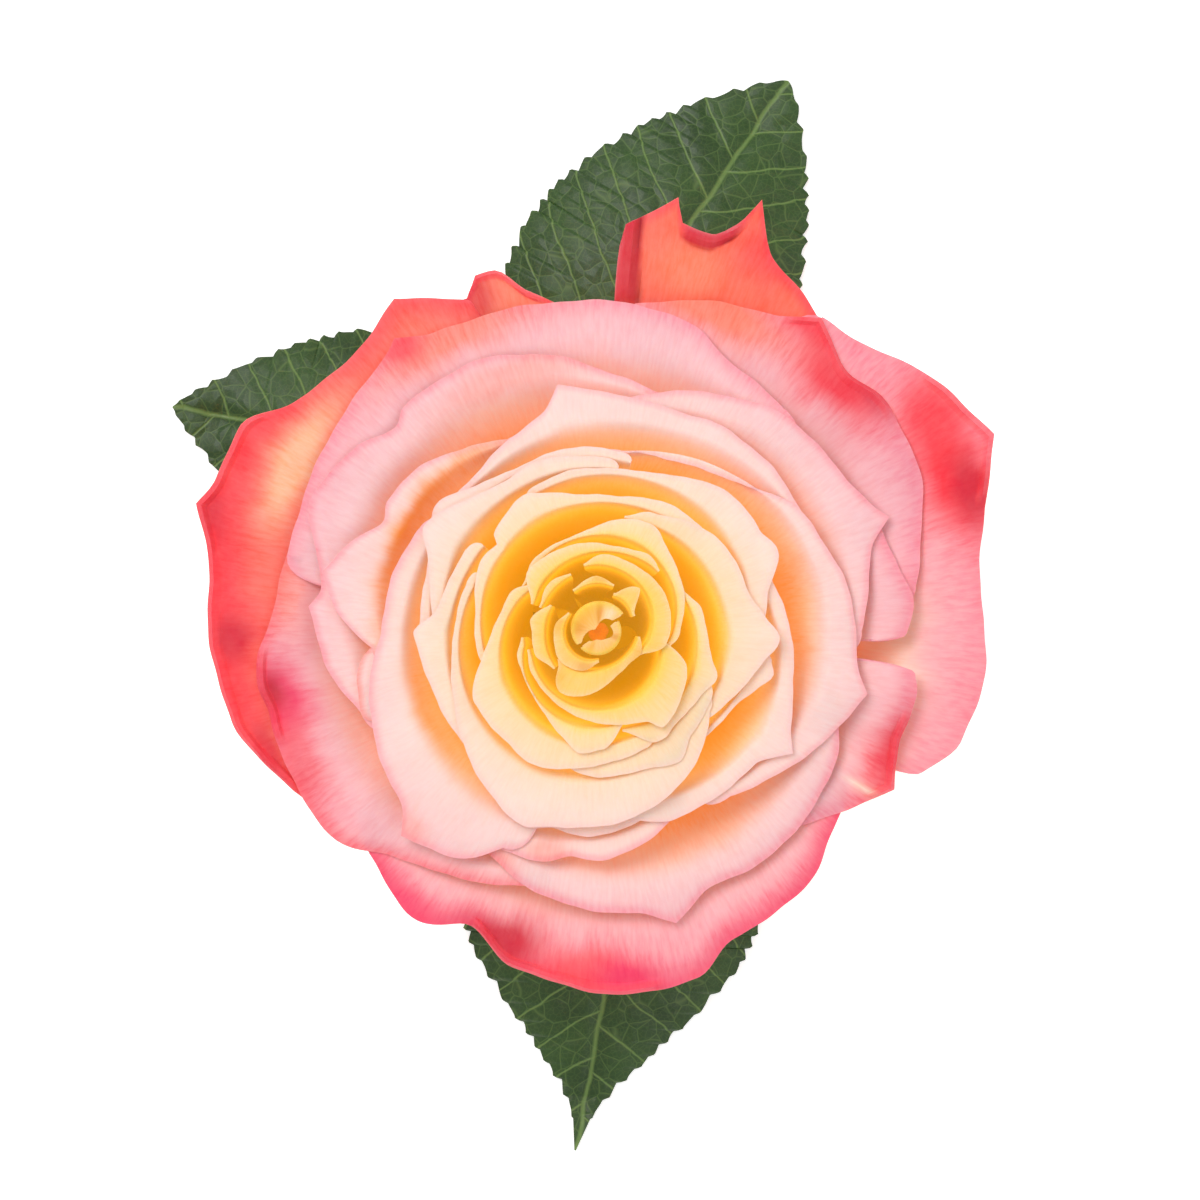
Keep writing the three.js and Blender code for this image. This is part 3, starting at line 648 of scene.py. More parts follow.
# %% [markdown]
# ## Shaping a petal
# The rows of the grid run from the claw to the rim, close together at the crease, and its columns
# fan out round the axis. The corner at the crease is eased, more on the large soft outer petals.
# The rim rolls down a little, and slow waves that all petals share keep the bloom from looking
# turned on a lathe. Some guard and outer petals have a margin that has rolled over towards the
# heart and shows its redder back. It is built as a bead along the edge.

# %% Petal shape
WALL_STEPS, LIP_STEPS = 24, 20
WALL_Q = np.linspace(0, 1, WALL_STEPS) ** 0.8
LIP_Q = 1 + np.linspace(0, 1, LIP_STEPS + 1)[1:] ** 0.9
ROW_Q = np.concatenate([WALL_Q, LIP_Q])
END_STEPS = np.array([0.02, 0.06, 0.14, 0.3])  # extra columns close to a petal's ends


def shared_waves(deg, radius):
    turn = np.radians(deg)
    reach = np.clip(radius / 45, 0, 1.2) ** 1.5
    slow = 0.9 * np.sin(3 * turn + 0.6) + 0.7 * np.sin(5 * turn + 2.1)
    quick = 0.35 * np.sin(11 * turn + radius * 0.13) + 0.22 * np.sin(19 * turn - radius * 0.2)
    return reach * (slow + quick)


# Margins that have rolled over towards the heart: the degrees they run over, the radius of the
# roll in mm, and the side of the petal they lie on.
ROLLED = {
    "petal_guard_top": [("end", 0, 0, 1.25), ("rim", 69.6, 79.0, 0.85), ("start", 0, 0, 0.45)],
    "petal_guard_right": [("rim", 378, 399, 0.55)],
    "petal_guard_left": [("rim", 146, 208, 0.55)],
    "petal_guard_bottom": [("rim", 246, 281, 0.50)],
    "petal_outer_upper_right": [("rim", 36, 60, 0.45)],
    "petal_outer_lower_right": [("rim", 328, 346, 0.45)],
    "petal_outer_left": [("rim", 182, 200, 0.5)],
    "petal_guard_small": [("rim", 99, 111, 0.4)],
}
FIRST_DEG = {petal[0]: petal[3][0][0] - petal[2][0] for petal in PETALS}
LAST_DEG = {petal[0]: petal[3][-1][0] + petal[2][1] for petal in PETALS}


def rolled_margins(name, columns, from_rim, radius):
    """How far each point is from each rolled margin, in roll radii, and the roll's radius."""
    for side, first, last, roll in ROLLED.get(name, []):
        if side == "rim":
            near = smooth((columns - first) / 2.0) * smooth((last - columns) / 2.0)
            away = np.broadcast_to(from_rim, radius.shape)
        elif side == "start":
            near = np.ones_like(radius)
            away = np.radians(columns - FIRST_DEG[name]) * radius
        else:
            near = np.ones_like(radius)
            away = np.radians(LAST_DEG[name] - columns) * radius
        yield away / roll, roll, near


def margin_ridge(name, columns, from_rim, radius, q):
    """The height that rolled margins add: a half round bead along the edge."""
    added = np.zeros_like(radius)
    for away, roll, near in rolled_margins(name, columns, from_rim, radius):
        bead = roll * 1.5 * np.sqrt(np.clip(1 - (away - 1) ** 2, 0, 1))
        added = np.maximum(added, bead * near * smooth((q - 1.0) / 0.25))
    return added


def petal_points(petal, seed):
    start, end = FIRST_DEG[petal[0]], LAST_DEG[petal[0]]
    outer = petal[1][1] / OUTER_CREASE  # 1 for the outermost petal
    step = 1.0 if outer > 0.5 else 1.6
    columns = np.unique(np.concatenate([
        np.linspace(start, end, int((end - start) / step) + 2),
        np.array([p[0] for p in petal[3]], float),
        start + petal[2][0] * END_STEPS,
        end - petal[2][1] * END_STEPS,
    ]))
    heart = (start + end) / 2
    q = ROW_Q[:, None]
    keep = CLAW_SHARE + (1 - CLAW_SHARE) * smooth(q / 0.8)
    deg = heart + (columns[None, :] - heart) * keep
    crease = crease_at(petal, deg)
    edge = np.broadcast_to(rim_radius(petal, columns, seed)[None, :], deg.shape)
    wall_r, wall_z = wall_point(crease, np.minimum(q, 1.0))
    past = np.maximum(q - 1, 0) * (edge - crease)
    lip_r = crease + past
    lip_z = crease_height(crease) - LIP_SLOPE * past - LIP_CURL * past * past
    on_lip = q > 1
    radius, height = np.where(on_lip, lip_r, wall_r), np.where(on_lip, lip_z, wall_z)
    ease = np.exp(-(((q - 1) / (0.10 + 0.30 * outer**2)) ** 2))
    for _ in range(int(3 + 60 * outer**2)):
        for part in (radius, height):
            middle = (part[:-2] + 2 * part[1:-1] + part[2:]) / 4
            part[1:-1] += (middle - part[1:-1]) * ease[1:-1]
    width = edge - crease
    roll = smooth((q - 1.55) / 0.45) ** 2 * np.minimum(0.03 + (0.025 + 0.03 * outer) * width, 0.7)
    ripple = smooth((q - 1.1) / 0.9) * (0.01 + 0.22 * outer**2)
    ripple = ripple * np.sin(np.radians(deg) * 13 + 1.7 * seed) * np.cos(np.radians(deg) * 5 + seed)
    height = height - roll + ripple + shared_waves(deg, radius)
    height = height + margin_ridge(petal[0], columns, edge - radius, radius, q)
    turn = np.radians(deg)
    points = np.stack([radius * np.cos(turn), radius * np.sin(turn), height], axis=-1)
    along = np.zeros_like(radius)
    along[1:] = np.cumsum(np.hypot(np.diff(radius, axis=0), np.diff(height, axis=0)), axis=0)
    mean_radius = 8 + edge.mean() * 0.7
    across = np.radians(columns[None, :] - heart) * mean_radius
    flat = np.stack([np.broadcast_to(across, deg.shape), along], axis=-1) / 10
    shape = {"deg": deg, "radius": radius, "q": np.broadcast_to(q, deg.shape), "edge": edge,
             "columns": np.broadcast_to(columns[None, :], deg.shape)}
    return points, flat, shape


print("rows in a petal", len(ROW_Q), "petals with rolled margins", len(ROLLED))

# %% [markdown]
# ## Painting a petal
# The flower is two-toned: amber deep in the heart, cream on the inner lips, then pink, with coral
# and crimson where sun reached the guard petals. The base coat follows the distance from the axis.
# The wall below a crease is painted warmer: partly the petal's own amber base, partly painted light
# standing in for light that has passed through other petals, and deeper down it is painted darker as
# shade. Then each petal may have its own edge colour, its own body colour, and soft patches of other
# tones; some of these patches are painted shade in the troughs and in the folds of the heart.

# %% Colours
RINGS = np.array([0, 3, 6, 9, 12, 15, 19, 23, 27, 31, 35, 39, 43, 50])
LIP_TONES = linear([
    (250, 196, 132), (250, 194, 116), (251, 200, 110), (252, 206, 118), (254, 216, 156), (254, 218, 174),
    (254, 221, 194), (254, 221, 205), (254, 215, 207), (253, 208, 204), (252, 198, 200), (252, 184, 190),
    (251, 170, 180), (250, 156, 170),
])
WALL_TONES = linear([
    (244, 208, 80), (246, 208, 56), (248, 210, 40), (252, 213, 40), (253, 215, 52), (254, 214, 70),
    (255, 210, 116), (255, 205, 144), (255, 200, 162), (254, 195, 170), (253, 188, 174), (251, 178, 174),
    (250, 168, 172), (250, 156, 164),
])
# Painted shade: the darker tones that the walls turn to deep down
SHADED_DEEP_TONES = linear([
    (226, 186, 36), (224, 184, 20), (226, 186, 14), (232, 190, 12), (240, 194, 14), (247, 196, 22),
    (252, 190, 46), (253, 180, 78), (252, 170, 102), (251, 168, 130), (250, 164, 148), (248, 154, 154),
    (246, 144, 154), (244, 132, 144),
])
ROSE = linear((250, 150, 165))
SALMON = linear((255, 128, 98))
CORAL = linear((255, 104, 80))
RED = linear((250, 58, 74))
MAGENTA = linear((244, 44, 98))
CRIMSON = linear((200, 26, 56))
# Painted shadow: the dark line beside a rolled margin
PAINTED_SHADOW_RED = linear((140, 12, 34))
# Painted shade for the troughs beside a crease, over the petal's own amber base
APRICOT_TROUGH_SHADE = linear((255, 160, 80))
TANGERINE_TROUGH_SHADE = linear((255, 150, 50))
PEACH = linear((255, 200, 165))
IVORY = linear((255, 246, 226))
# Painted shade for the folds of the heart, in amber
HONEY_FOLD_SHADE = linear((246, 176, 62))
OCHRE_FOLD_SHADE = linear((222, 142, 26))

# body: (tone, share); edge: (tone, width in mm, share);
# patches: (degrees, radius, spread in degrees, spread in mm, tone, share)
PAINT = {
    "petal_guard_top": dict(body=(CORAL, 0.95), edge=(RED, 2.2, 0.8), patches=[
        (76, 47, 6, 4, SALMON, 0.8), (66, 52, 4, 4, RED, 0.6)]),
    "petal_guard_right": dict(body=(ROSE, 0.10), edge=(ROSE, 4.0, 0.7), patches=[
        (24, 49, 9, 4.8, RED, 1.0), (21, 50.5, 6, 2.8, CRIMSON, 0.9), (34, 50, 6, 3.4, RED, 0.9),
        (44, 49, 6, 4, ROSE, 0.6), (355, 36.5, 14, 3.5, IVORY, 0.9)]),
    "petal_guard_small": dict(body=(SALMON, 0.9), edge=(RED, 1.5, 0.8), patches=[
        (110, 45, 3, 3, CRIMSON, 0.7)]),
    "petal_guard_left": dict(body=(CORAL, 0.85), edge=(RED, 4.5, 0.7), patches=[
        (172, 49, 22, 6, RED, 0.9), (148, 50, 8, 3.5, RED, 0.8), (151, 43.6, 11, 2.8, PEACH, 0.8),
        (166, 50.5, 7, 2.6, CRIMSON, 0.35), (181.5, 46.2, 4, 2.8, CRIMSON, 0.9),
        (200, 44.5, 7, 2.2, CRIMSON, 0.75), (163, 51.5, 4, 1.6, CRIMSON, 0.6),
        (190, 46.5, 6, 3, RED, 0.7)]),
    "petal_outer_upper_right": dict(edge=(ROSE, 4.5, 0.8), patches=[
        (46, 44, 9, 4, RED, 0.95), (54, 47, 5, 2.6, RED, 0.8), (70, 43, 12, 3, SALMON, 0.85),
        (41, 46, 5, 1.6, CRIMSON, 0.5)]),
    "petal_guard_bottom": dict(body=(ROSE, 0.45), edge=(MAGENTA, 4.2, 0.75), patches=[
        (253, 40.5, 7, 3, CRIMSON, 0.95), (268, 42.5, 8, 3, RED, 0.8),
        (275, 43.8, 5, 2.4, MAGENTA, 0.9), (236, 41.5, 6, 2.5, MAGENTA, 0.6)]),
    "petal_outer_lower_right": dict(body=(ROSE, 0.25), edge=(ROSE, 3.5, 0.8), patches=[
        (339, 40.6, 7, 2.2, CRIMSON, 0.8), (334, 40, 8, 3.4, RED, 0.6),
        (329.5, 38.5, 0.8, 2.5, IVORY, 0.6)]),
    "petal_outer_right": dict(body=(ROSE, 0.30), edge=(ROSE, 2.5, 0.7)),
    "petal_outer_left": dict(body=(ROSE, 0.25), edge=(RED, 2.6, 0.45), patches=[
        (192, 40.8, 7, 3.6, MAGENTA, 0.9), (190.5, 41.8, 3.2, 1.7, CRIMSON, 1.0),
        (203, 40.5, 9, 2.5, RED, 0.6), (172, 39, 8, 2.5, SALMON, 0.5)]),
    "petal_outer_top": dict(edge=(ROSE, 2.6, 0.6), patches=[
        (117, 41.5, 14, 2.6, SALMON, 0.7), (124.5, 43.4, 3.5, 2.0, RED, 0.8)]),
    # The tangerine and apricot patches lie in troughs near a crease: painted shade there, over the
    # petal's own amber base
    "petal_outer_bottom": dict(body=(ROSE, 0.18), edge=(ROSE, 1.8, 0.6), patches=[
        (300, 26.5, 11, 2.6, APRICOT_TROUGH_SHADE, 0.9), (246, 32, 5, 3, CORAL, 0.35)]),
    "petal_ring_right": dict(edge=(ROSE, 1.4, 0.35)),
    "petal_ring_top": dict(body=(ROSE, 0.06), edge=(ROSE, 1.4, 0.45), patches=[
        (110, 34, 16, 2.2, SALMON, 0.35)]),
    "petal_ring_petaloid": dict(edge=(CORAL, 1.2, 0.4)),
    "petal_ring_upper_left": dict(body=(ROSE, 0.05), edge=(ROSE, 1.2, 0.4), patches=[
        (150, 26.8, 28, 1.7, TANGERINE_TROUGH_SHADE, 1.0)]),
    "petal_ring_upper_right": dict(edge=(ROSE, 1.0, 0.2)),
    "petal_ring_lower_left": dict(body=(ROSE, 0.06), edge=(ROSE, 1.6, 0.45), patches=[
        (207, 23.4, 16, 1.3, TANGERINE_TROUGH_SHADE, 1.0), (226, 34, 4, 2, CORAL, 0.3)]),
    "petal_ring_lower": dict(edge=(ROSE, 1.3, 0.5), patches=[(257, 28.4, 6, 1.6, CORAL, 0.35)]),
    "petal_ring_fold": dict(edge=(ROSE, 1.0, 0.25), patches=[(0, 24.6, 26, 1.6, APRICOT_TROUGH_SHADE, 0.9)]),
    # The heart's patches paint the shade of its folds in darker amber, and on the core's top a paler
    # painted highlight on a fold's crest
    "petal_core_top": dict(patches=[
        (135, 3.0, 48, 1.5, HONEY_FOLD_SHADE, 0.85), (168, 3.2, 20, 1.6, OCHRE_FOLD_SHADE, 0.7),
        (86, 2.6, 9, 2.2, OCHRE_FOLD_SHADE, 0.75), (58, 2.6, 14, 1.2, IVORY, 0.35)]),
    "petal_core_low": dict(patches=[
        (246, 2.2, 13, 1.4, HONEY_FOLD_SHADE, 0.8), (300, 2.9, 26, 0.7, HONEY_FOLD_SHADE, 0.8),
        (345, 2.2, 10, 1.6, OCHRE_FOLD_SHADE, 0.6)]),
    "petal_core_left": dict(patches=[(170, 5.0, 12, 1.2, HONEY_FOLD_SHADE, 0.7), (250, 4.6, 14, 0.8, OCHRE_FOLD_SHADE, 0.5)]),
    "petal_heart_small": dict(patches=[(88, 6.6, 9, 0.9, HONEY_FOLD_SHADE, 0.7)]),
    "petal_heart_cup": dict(patches=[(228, 7.6, 9, 1.4, HONEY_FOLD_SHADE, 0.55), (330, 5.8, 14, 0.8, HONEY_FOLD_SHADE, 0.6)]),
}
print("petals with paint of their own", len(PAINT))


# %% Paint a petal
DARK_ROLLS = ("petal_guard_top",)  # here the roll's back is crimson, with the dark line of its shadow
# Painted glow, standing in for light passed through other petals: strongest on the walls deep in the
# heart, and a little on every lip to lift its shade
WALL_PAINTED_GLOW = ([0, 6, 16, 26, 36], [0.34, 0.32, 0.24, 0.12, 0.02])  # by radius
LIP_PAINTED_GLOW = 0.02


def ring_tone(tones, radius):
    return np.stack([np.interp(radius, RINGS, tones[:, k]) for k in range(3)], axis=-1)


def petal_paint(name, shape, seed):
    radius, q, edge, deg = shape["radius"], shape["q"], shape["edge"], shape["deg"]
    own = PAINT.get(name, {})
    tone = ring_tone(LIP_TONES, radius)
    if "body" in own:
        colour, share = own["body"]
        tone = mix(tone, colour, share * smooth((radius - 30) / 12))
    from_rim = np.abs(edge - radius)
    lip_edge = np.clip(1 - from_rim / 0.9, 0, 1) * (q > 1)
    tone = mix(tone, ring_tone(LIP_TONES, radius + 9) * np.array([1.0, 0.90, 0.88]), 0.5 * lip_edge)
    if "edge" in own:
        colour, width, share = own["edge"]
        tone = mix(tone, colour, share * smooth(1 - from_rim / width) * (q > 1))
    for centre, reach, wide, deep, colour, share in own.get("patches", []):
        turn = (deg - centre + 180) % 360 - 180
        uneven = 1 + 0.16 * np.sin(deg * 0.45 + seed) + 0.08 * np.sin(deg * 1.3 + 2 * seed)
        amount = np.exp(-((turn / wide) ** 2) - ((radius - reach) / (deep * uneven)) ** 2)
        tone = mix(tone, colour, share * np.clip(amount * 1.25, 0, 1))
    dark = name in DARK_ROLLS
    back, share = (CRIMSON, 0.85) if dark else (RED, 0.45)
    for away, _, near in rolled_margins(name, shape["columns"], from_rim, radius):
        on_roll = smooth((2.35 - away) / 0.3) * near * smooth((q - 1.0) / 0.2)
        tone = mix(tone, back, on_roll * share)
        if dark:
            # A painted shadow: a dark line along the inner side of the roll
            painted_shadow_line = np.exp(-(((away - 2.2) / 0.25) ** 2)) * near
            tone = mix(tone, PAINTED_SHADOW_RED, painted_shadow_line * 0.7)
    # Walls below the crease: the petal's own amber base with painted light from other petals, turning
    # darker with depth as painted shade
    start, span = (1.50, 0.80) if radius.max() < 18 else (1.24, 0.46)
    warm_and_shaded = mix(ring_tone(WALL_TONES, radius), ring_tone(SHADED_DEEP_TONES, radius), smooth((0.92 - q) / 0.30))
    tone = mix(tone, warm_and_shaded, smooth((start - q) / span) * 0.95)
    # The painted glow: strongest on the wall just below the crease, less further down
    low = smooth((1.12 - q) / 0.3) * (1 - 0.35 * smooth((0.90 - q) / 0.45))
    painted_glow = LIP_PAINTED_GLOW + low * np.interp(radius, *WALL_PAINTED_GLOW)
    return tone, painted_glow


print("lip tone near the middle", ring_tone(LIP_TONES, np.array([6.0])).round(2))
# %% [markdown]
# ## Making the petals
# Each petal is laid out, painted and given its thickness in turn. The outer petals are a little
# thicker than the inner ones, and their veins show more.

# %% Make the petals
OUTER_THICKNESS, INNER_THICKNESS = 0.26, 0.20  # in mm
made = 0
for number, petal in enumerate(PETALS):
    name = petal[0]
    middle_crease = petal[1][1]
    points, flat, shape = petal_points(petal, number)
    piece, row, col = shaped_sheet(name + "_soft", points, flat)
    tone, painted_glow = petal_paint(name, shape, number)
    paint(piece, "petal_colour", tone[row, col])
    paint(piece, "petal_painted_through_light", painted_glow[row, col])
    finish_sheet(piece, OUTER_THICKNESS if middle_crease > 25 else INNER_THICKNESS)
    stands_for(piece, name, OUTER_PETAL if middle_crease > 26 else INNER_PETAL)
    made += len(piece.data.polygons)
print("petal faces", made)

# %% [markdown]
# ## The leaves
# Four leaves lie under the bloom. Each has a stalk, a midrib, and an edge of small teeth that
# lean towards the tip. The blade arches off the surface in the middle, and swells a little between
# its side veins, which gives the leathery look.

# %% Leaf finish
# Name, the stem's side in degrees, base, tip, half width, teeth, how drawn out the tip is, sway
# and lift, in mm.
LEAVES = [
    ("leaf_top", 84, (-4, 22.5), (24.8, 71.7), 19.0, 27, 0.75, 1.5, 0.0),
    ("leaf_left", 126, (-7, 17), (-55.5, 29.2), 16.5, 24, 0.80, -1.0, 0.0),
    ("leaf_bottom", 271, (0.5, -13), (-3, -67.8), 20.0, 26, 1.60, 2.5, 0.0),
    ("leaf_lower_left", 212, (-9, -8.5), (-36.5, -23), 12.5, 15, 0.80, -2.0, 4.5),
]


def rgba(rgb):
    return (*linear(rgb), 1)


def leaf_material(name, dark, light, vein, gloss):
    material, tree, shader = new_material(name)
    flat = put(tree, "ShaderNodeUVMap", uv_map="Flat")
    place = put(tree, "ShaderNodeTexCoord")
    veins = use_group(tree, leaf_veins, [("Flat", flat.outputs[0]), ("Pitch", 0.62)])
    mottle = use_group(tree, mottling, [("Place", place.outputs["Object"]), ("Size", 120.0)])
    ground = blend_colour(tree, mottle.outputs[0], rgba(dark), rgba(light))
    netted = blend_colour(tree, times(tree, veins.outputs["Net"], 0.36), ground, rgba(vein))
    veined = blend_colour(tree, times(tree, veins.outputs["Veins"], 0.62), netted, rgba(vein))
    tree.links.new(veined, shader.inputs["Base Color"])
    rough = maths(tree, "ADD", times(tree, mottle.outputs[0], 0.16), gloss)
    tree.links.new(rough, shader.inputs["Roughness"])
    bump = put(tree, "ShaderNodeBump",
               [("Height", veins.outputs["Height"]), ("Strength", 0.22), ("Distance", 0.0005)])
    tree.links.new(bump.outputs[0], shader.inputs["Normal"])
    shader.inputs["Specular IOR Level"].default_value = 0.42
    return material


LEAF = leaf_material("Leaf, leathery green", (35, 61, 22), (50, 82, 31), (118, 150, 78), 0.38)
SEPAL = leaf_material("Sepal, matt green", (70, 98, 40), (100, 128, 60), (140, 160, 90), 0.55)
print("green finishes:", LEAF.name, "and", SEPAL.name)

# %% Leaf shape
LEAF_THICKNESS = 0.5
LEAF_ARCH = 4.5
STALK_RADIUS = 0.9
SWELLING_PITCH = 6.2  # between side veins, along the midrib


def leaf_width(share, half, point):
    round_part = np.sin(np.pi * np.minimum(share, 1.0) ** 0.75).clip(0)
    return half * round_part ** np.where(share < 0.4, 0.8, point)


def leaf_points(base, tip, half, teeth, point, sway, lift):
    base, tip = np.array(base, float), np.array(tip, float)
    run = tip - base
    length = np.hypot(*run)
    forward = run / length
    left = np.array([-forward[1], forward[0]])
    share = np.linspace(0.004, 1, teeth * 14 + 1)
    spaced = share * teeth + 0.30 * np.sin(share * teeth * 0.9 + half)
    phase = (spaced + 0.12) % 1.0
    bite = np.where(phase < 0.86, (1 - phase / 0.86) ** 0.8, (phase - 0.86) / 0.14)
    deep = length * 0.014 * (1 + 0.35 * np.sin(share * teeth * 2.1)) * smooth(share / 0.06)
    outline = leaf_width(share, half, point)
    deep = np.minimum(deep, 0.30 * outline)
    narrowest = np.minimum(1.2, (1 - share) * length * 0.24) + 0.1
    edge = np.maximum(outline - bite * deep, narrowest)
    across = np.linspace(-1, 1, 41)
    offset = across[None, :] * edge[:, None]
    middle = base + run * share[:, None] + left * (sway * np.sin(np.pi * share))[:, None]
    rise = LEAF_ARCH * np.sin(np.pi * np.minimum(1, share * 1.15)).clip(0)
    ground = 0.62 + 0.34 * (1 - share) + lift
    width = np.maximum(outline, 0.4)[:, None]
    out = np.abs(offset)
    slant = (share[:, None] * length - 0.75 * out) / SWELLING_PITCH
    quilt = 0.22 * np.abs(np.sin(np.pi * slant)) * smooth(out / 2.5) * smooth((width - out) / 3)
    groove = 0.5 * np.exp(-((offset / 0.9) ** 2)) * smooth((1 - share[:, None]) / 0.2)
    height = ground[:, None] + rise[:, None] * (1 - across[None, :] ** 2) + quilt - groove
    plan = middle[:, None, :] + offset[..., None] * left
    points = np.concatenate([plan, height[..., None]], axis=-1)
    along = np.broadcast_to(share[:, None] * length, offset.shape)
    flat = np.stack([offset, along], axis=-1) / 10
    return points, flat


def stalk_points(angle, base, lift):
    """A tube from the stem's side to the blade."""
    turn = math.radians(angle)
    start = np.array([math.cos(turn), math.sin(turn)]) * (STEM_RADIUS - 0.4)
    end = np.array(base, float) + (np.array(base, float) - start) * 0.06
    share = np.linspace(0, 1, 25)
    line = start + (end - start) * share[:, None]
    height = (5 + (STALK_RADIUS - 5) * smooth(share)) + lift
    along = (end - start) / np.hypot(*(end - start))
    side = np.array([-along[1], along[0]])
    ring = np.linspace(0, 2 * np.pi, 17)
    radius = STALK_RADIUS * (1 + 0.35 * (1 - share) ** 4 - 0.25 * share)
    plan = line[:, None, :] + (radius[:, None] * np.cos(ring))[..., None] * side
    up = height[:, None] + radius[:, None] * np.sin(ring) * 0.9
    points = np.concatenate([plan, up[..., None]], axis=-1)
    around = np.broadcast_to(ring / 6 + 0.3, up.shape)
    flat = np.stack([around, np.broadcast_to(share[:, None] * 2, up.shape)], axis=-1)
    return points, flat


def join_pieces(main, others):
    deselect_all()
    for other in others:
        other.select_set(True)
    main.select_set(True)
    bpy.context.view_layer.objects.active = main
    bpy.ops.object.join()


def close_tube(piece):
    """Joins a tube's seam, closes its ends and turns its faces out."""
    select_only(piece)
    bpy.ops.object.mode_set(mode="EDIT")
    bpy.ops.mesh.select_all(action="SELECT")
    bpy.ops.mesh.remove_doubles(threshold=0.000002)
    bpy.ops.mesh.select_all(action="DESELECT")
    bpy.ops.mesh.select_non_manifold(extend=False)
    bpy.ops.mesh.fill_holes(sides=0)
    bpy.ops.mesh.select_all(action="SELECT")
    bpy.ops.mesh.normals_make_consistent(inside=False)
    bpy.ops.object.mode_set(mode="OBJECT")
    select_only(piece)
    bpy.ops.object.shade_smooth_by_angle(angle=math.radians(50))


for node, angle, base, tip, half, teeth, point, sway, lift in LEAVES:
    points, flat = leaf_points(base, tip, half, teeth, point, sway, lift)
    blade, _, _ = shaped_sheet(node + "_blade", points, flat)
    finish_sheet(blade, LEAF_THICKNESS, 70)
    points, flat = stalk_points(angle, base, lift)
    stalk, _, _ = shaped_sheet(node + "_stalk", points, flat)
    close_tube(stalk)
    join_pieces(blade, [stalk])
    stands_for(blade, node, LEAF)
print("leaves", len(LEAVES))

# %% [markdown]
# ## The sepals
# Five green sepals wrapped the bud and now hang under the open bloom. Each is a narrow blade with
# a long point, cupped down at its sides.

# %% Sepals
SEPALS = 5
SEPAL_LENGTH = 25.0
SEPAL_THICKNESS = 0.55


def sepal_points(number):
    turn = math.radians(20 + 360 / SEPALS * number)
    out = np.array([math.cos(turn), math.sin(turn)])
    side = np.array([-math.sin(turn), math.cos(turn)])
    share = np.linspace(0, 1, 60)[:, None]
    across = np.linspace(-1, 1, 15)[None, :]
    half = 3.4 * (1 - share) ** 0.7 * (0.75 + 0.6 * share) + 0.15
    reach = HIP_RADIUS - 0.6 + (SEPAL_LENGTH + 1.0) * share
    wag = 0.9 * np.sin(3.3 * share + number) * share
    sideways = across * half
    plan = reach[..., None] * out + (sideways + wag)[..., None] * side
    droop = 6 * share**2
    crown = 0.6 * (1 - share) * (1 - across**2)
    groove = 0.25 * np.exp(-((across / 0.15) ** 2))
    height = HIP_HEIGHT - 2.4 - droop + crown - groove
    points = np.concatenate([plan, height[..., None]], axis=-1)
    flat = np.stack([sideways / 10, np.broadcast_to(share * 2.5, sideways.shape)], axis=-1)
    return points, flat


for number in range(SEPALS):
    points, flat = sepal_points(number)
    piece, _, _ = shaped_sheet(f"sepal_{number + 1}_soft", points, flat)
    finish_sheet(piece, SEPAL_THICKNESS, 70)
    stands_for(piece, f"sepal_{number + 1}", SEPAL)
print("sepals", SEPALS)

# %% [markdown]
# ## Hip, stem, pistils and the furled heart
# These are round, so each is one profile turned about the bloom's axis. The profile's points are
# laid on a grid that is wrapped into a ring, its seam is merged and its ends are closed.


# %% Turned pieces
def turned_piece(name, profile, segments=64, uneven=0.0):
    profile = np.array(profile, float)
    ring = np.linspace(0, 2 * np.pi, segments + 1)
    wave = 1 + uneven * (np.sin(3 * ring) + 0.6 * np.sin(7 * ring + 1))[None, :]
    radius = profile[:, :1] * wave
    height = np.broadcast_to(profile[:, 1:], radius.shape)
    points = np.stack([radius * np.cos(ring), radius * np.sin(ring), height], axis=-1)
    flat = np.stack([np.broadcast_to(ring, radius.shape), height / 10], axis=-1)
    piece, _, _ = shaped_sheet(name, points, flat)
    close_tube(piece)
    return piece


def green_skin(name, dark, light, rough_low, bump_size):
    material, tree, shader = new_material(name)
    place = put(tree, "ShaderNodeTexCoord")
    mottle = use_group(tree, mottling, [("Place", place.outputs["Object"]), ("Size", 350.0)])
    fibre = put(tree, "ShaderNodeMapping",
                [("Vector", place.outputs["Object"]), ("Scale", (900.0, 900.0, 60.0))])
    lines = put(tree, "ShaderNodeTexNoise",
                [("Vector", fibre.outputs[0]), ("Scale", 1.0), ("Detail", 4.0)])
    share = times(tree, maths(tree, "ADD", mottle.outputs[0], lines.outputs[0]), 0.5)
    tree.links.new(blend_colour(tree, share, rgba(dark), rgba(light)), shader.inputs["Base Color"])
    tree.links.new(maths(tree, "ADD", times(tree, share, 0.2), rough_low), shader.inputs["Roughness"])
    bump = put(tree, "ShaderNodeBump",
               [("Height", lines.outputs[0]), ("Strength", 0.3), ("Distance", bump_size)])
    tree.links.new(bump.outputs[0], shader.inputs["Normal"])
    return material


HIP_SKIN = green_skin("Hip, waxy green with painted amber glow", (84, 116, 48), (122, 150, 74), 0.34, 0.0004)
STEM_SKIN = green_skin("Stem, green bark", (66, 100, 38), (110, 138, 62), 0.40, 0.0005)
PISTIL_FELT = green_skin("Pistils, pale fibres", (190, 150, 60), (226, 200, 110), 0.6, 0.0004)
print("round finishes:", HIP_SKIN.name, "and", STEM_SKIN.name, "and", PISTIL_FELT.name)

# %% [markdown]
# The hip is green outside, where it shows below the bloom. Its dome stands among the petals'
# claws, where everything is amber and lit through them, so its skin is painted amber there and given
# a painted glow, standing in for that light.

# %% Hip
GLOW_AMBER = rgba((224, 182, 40))


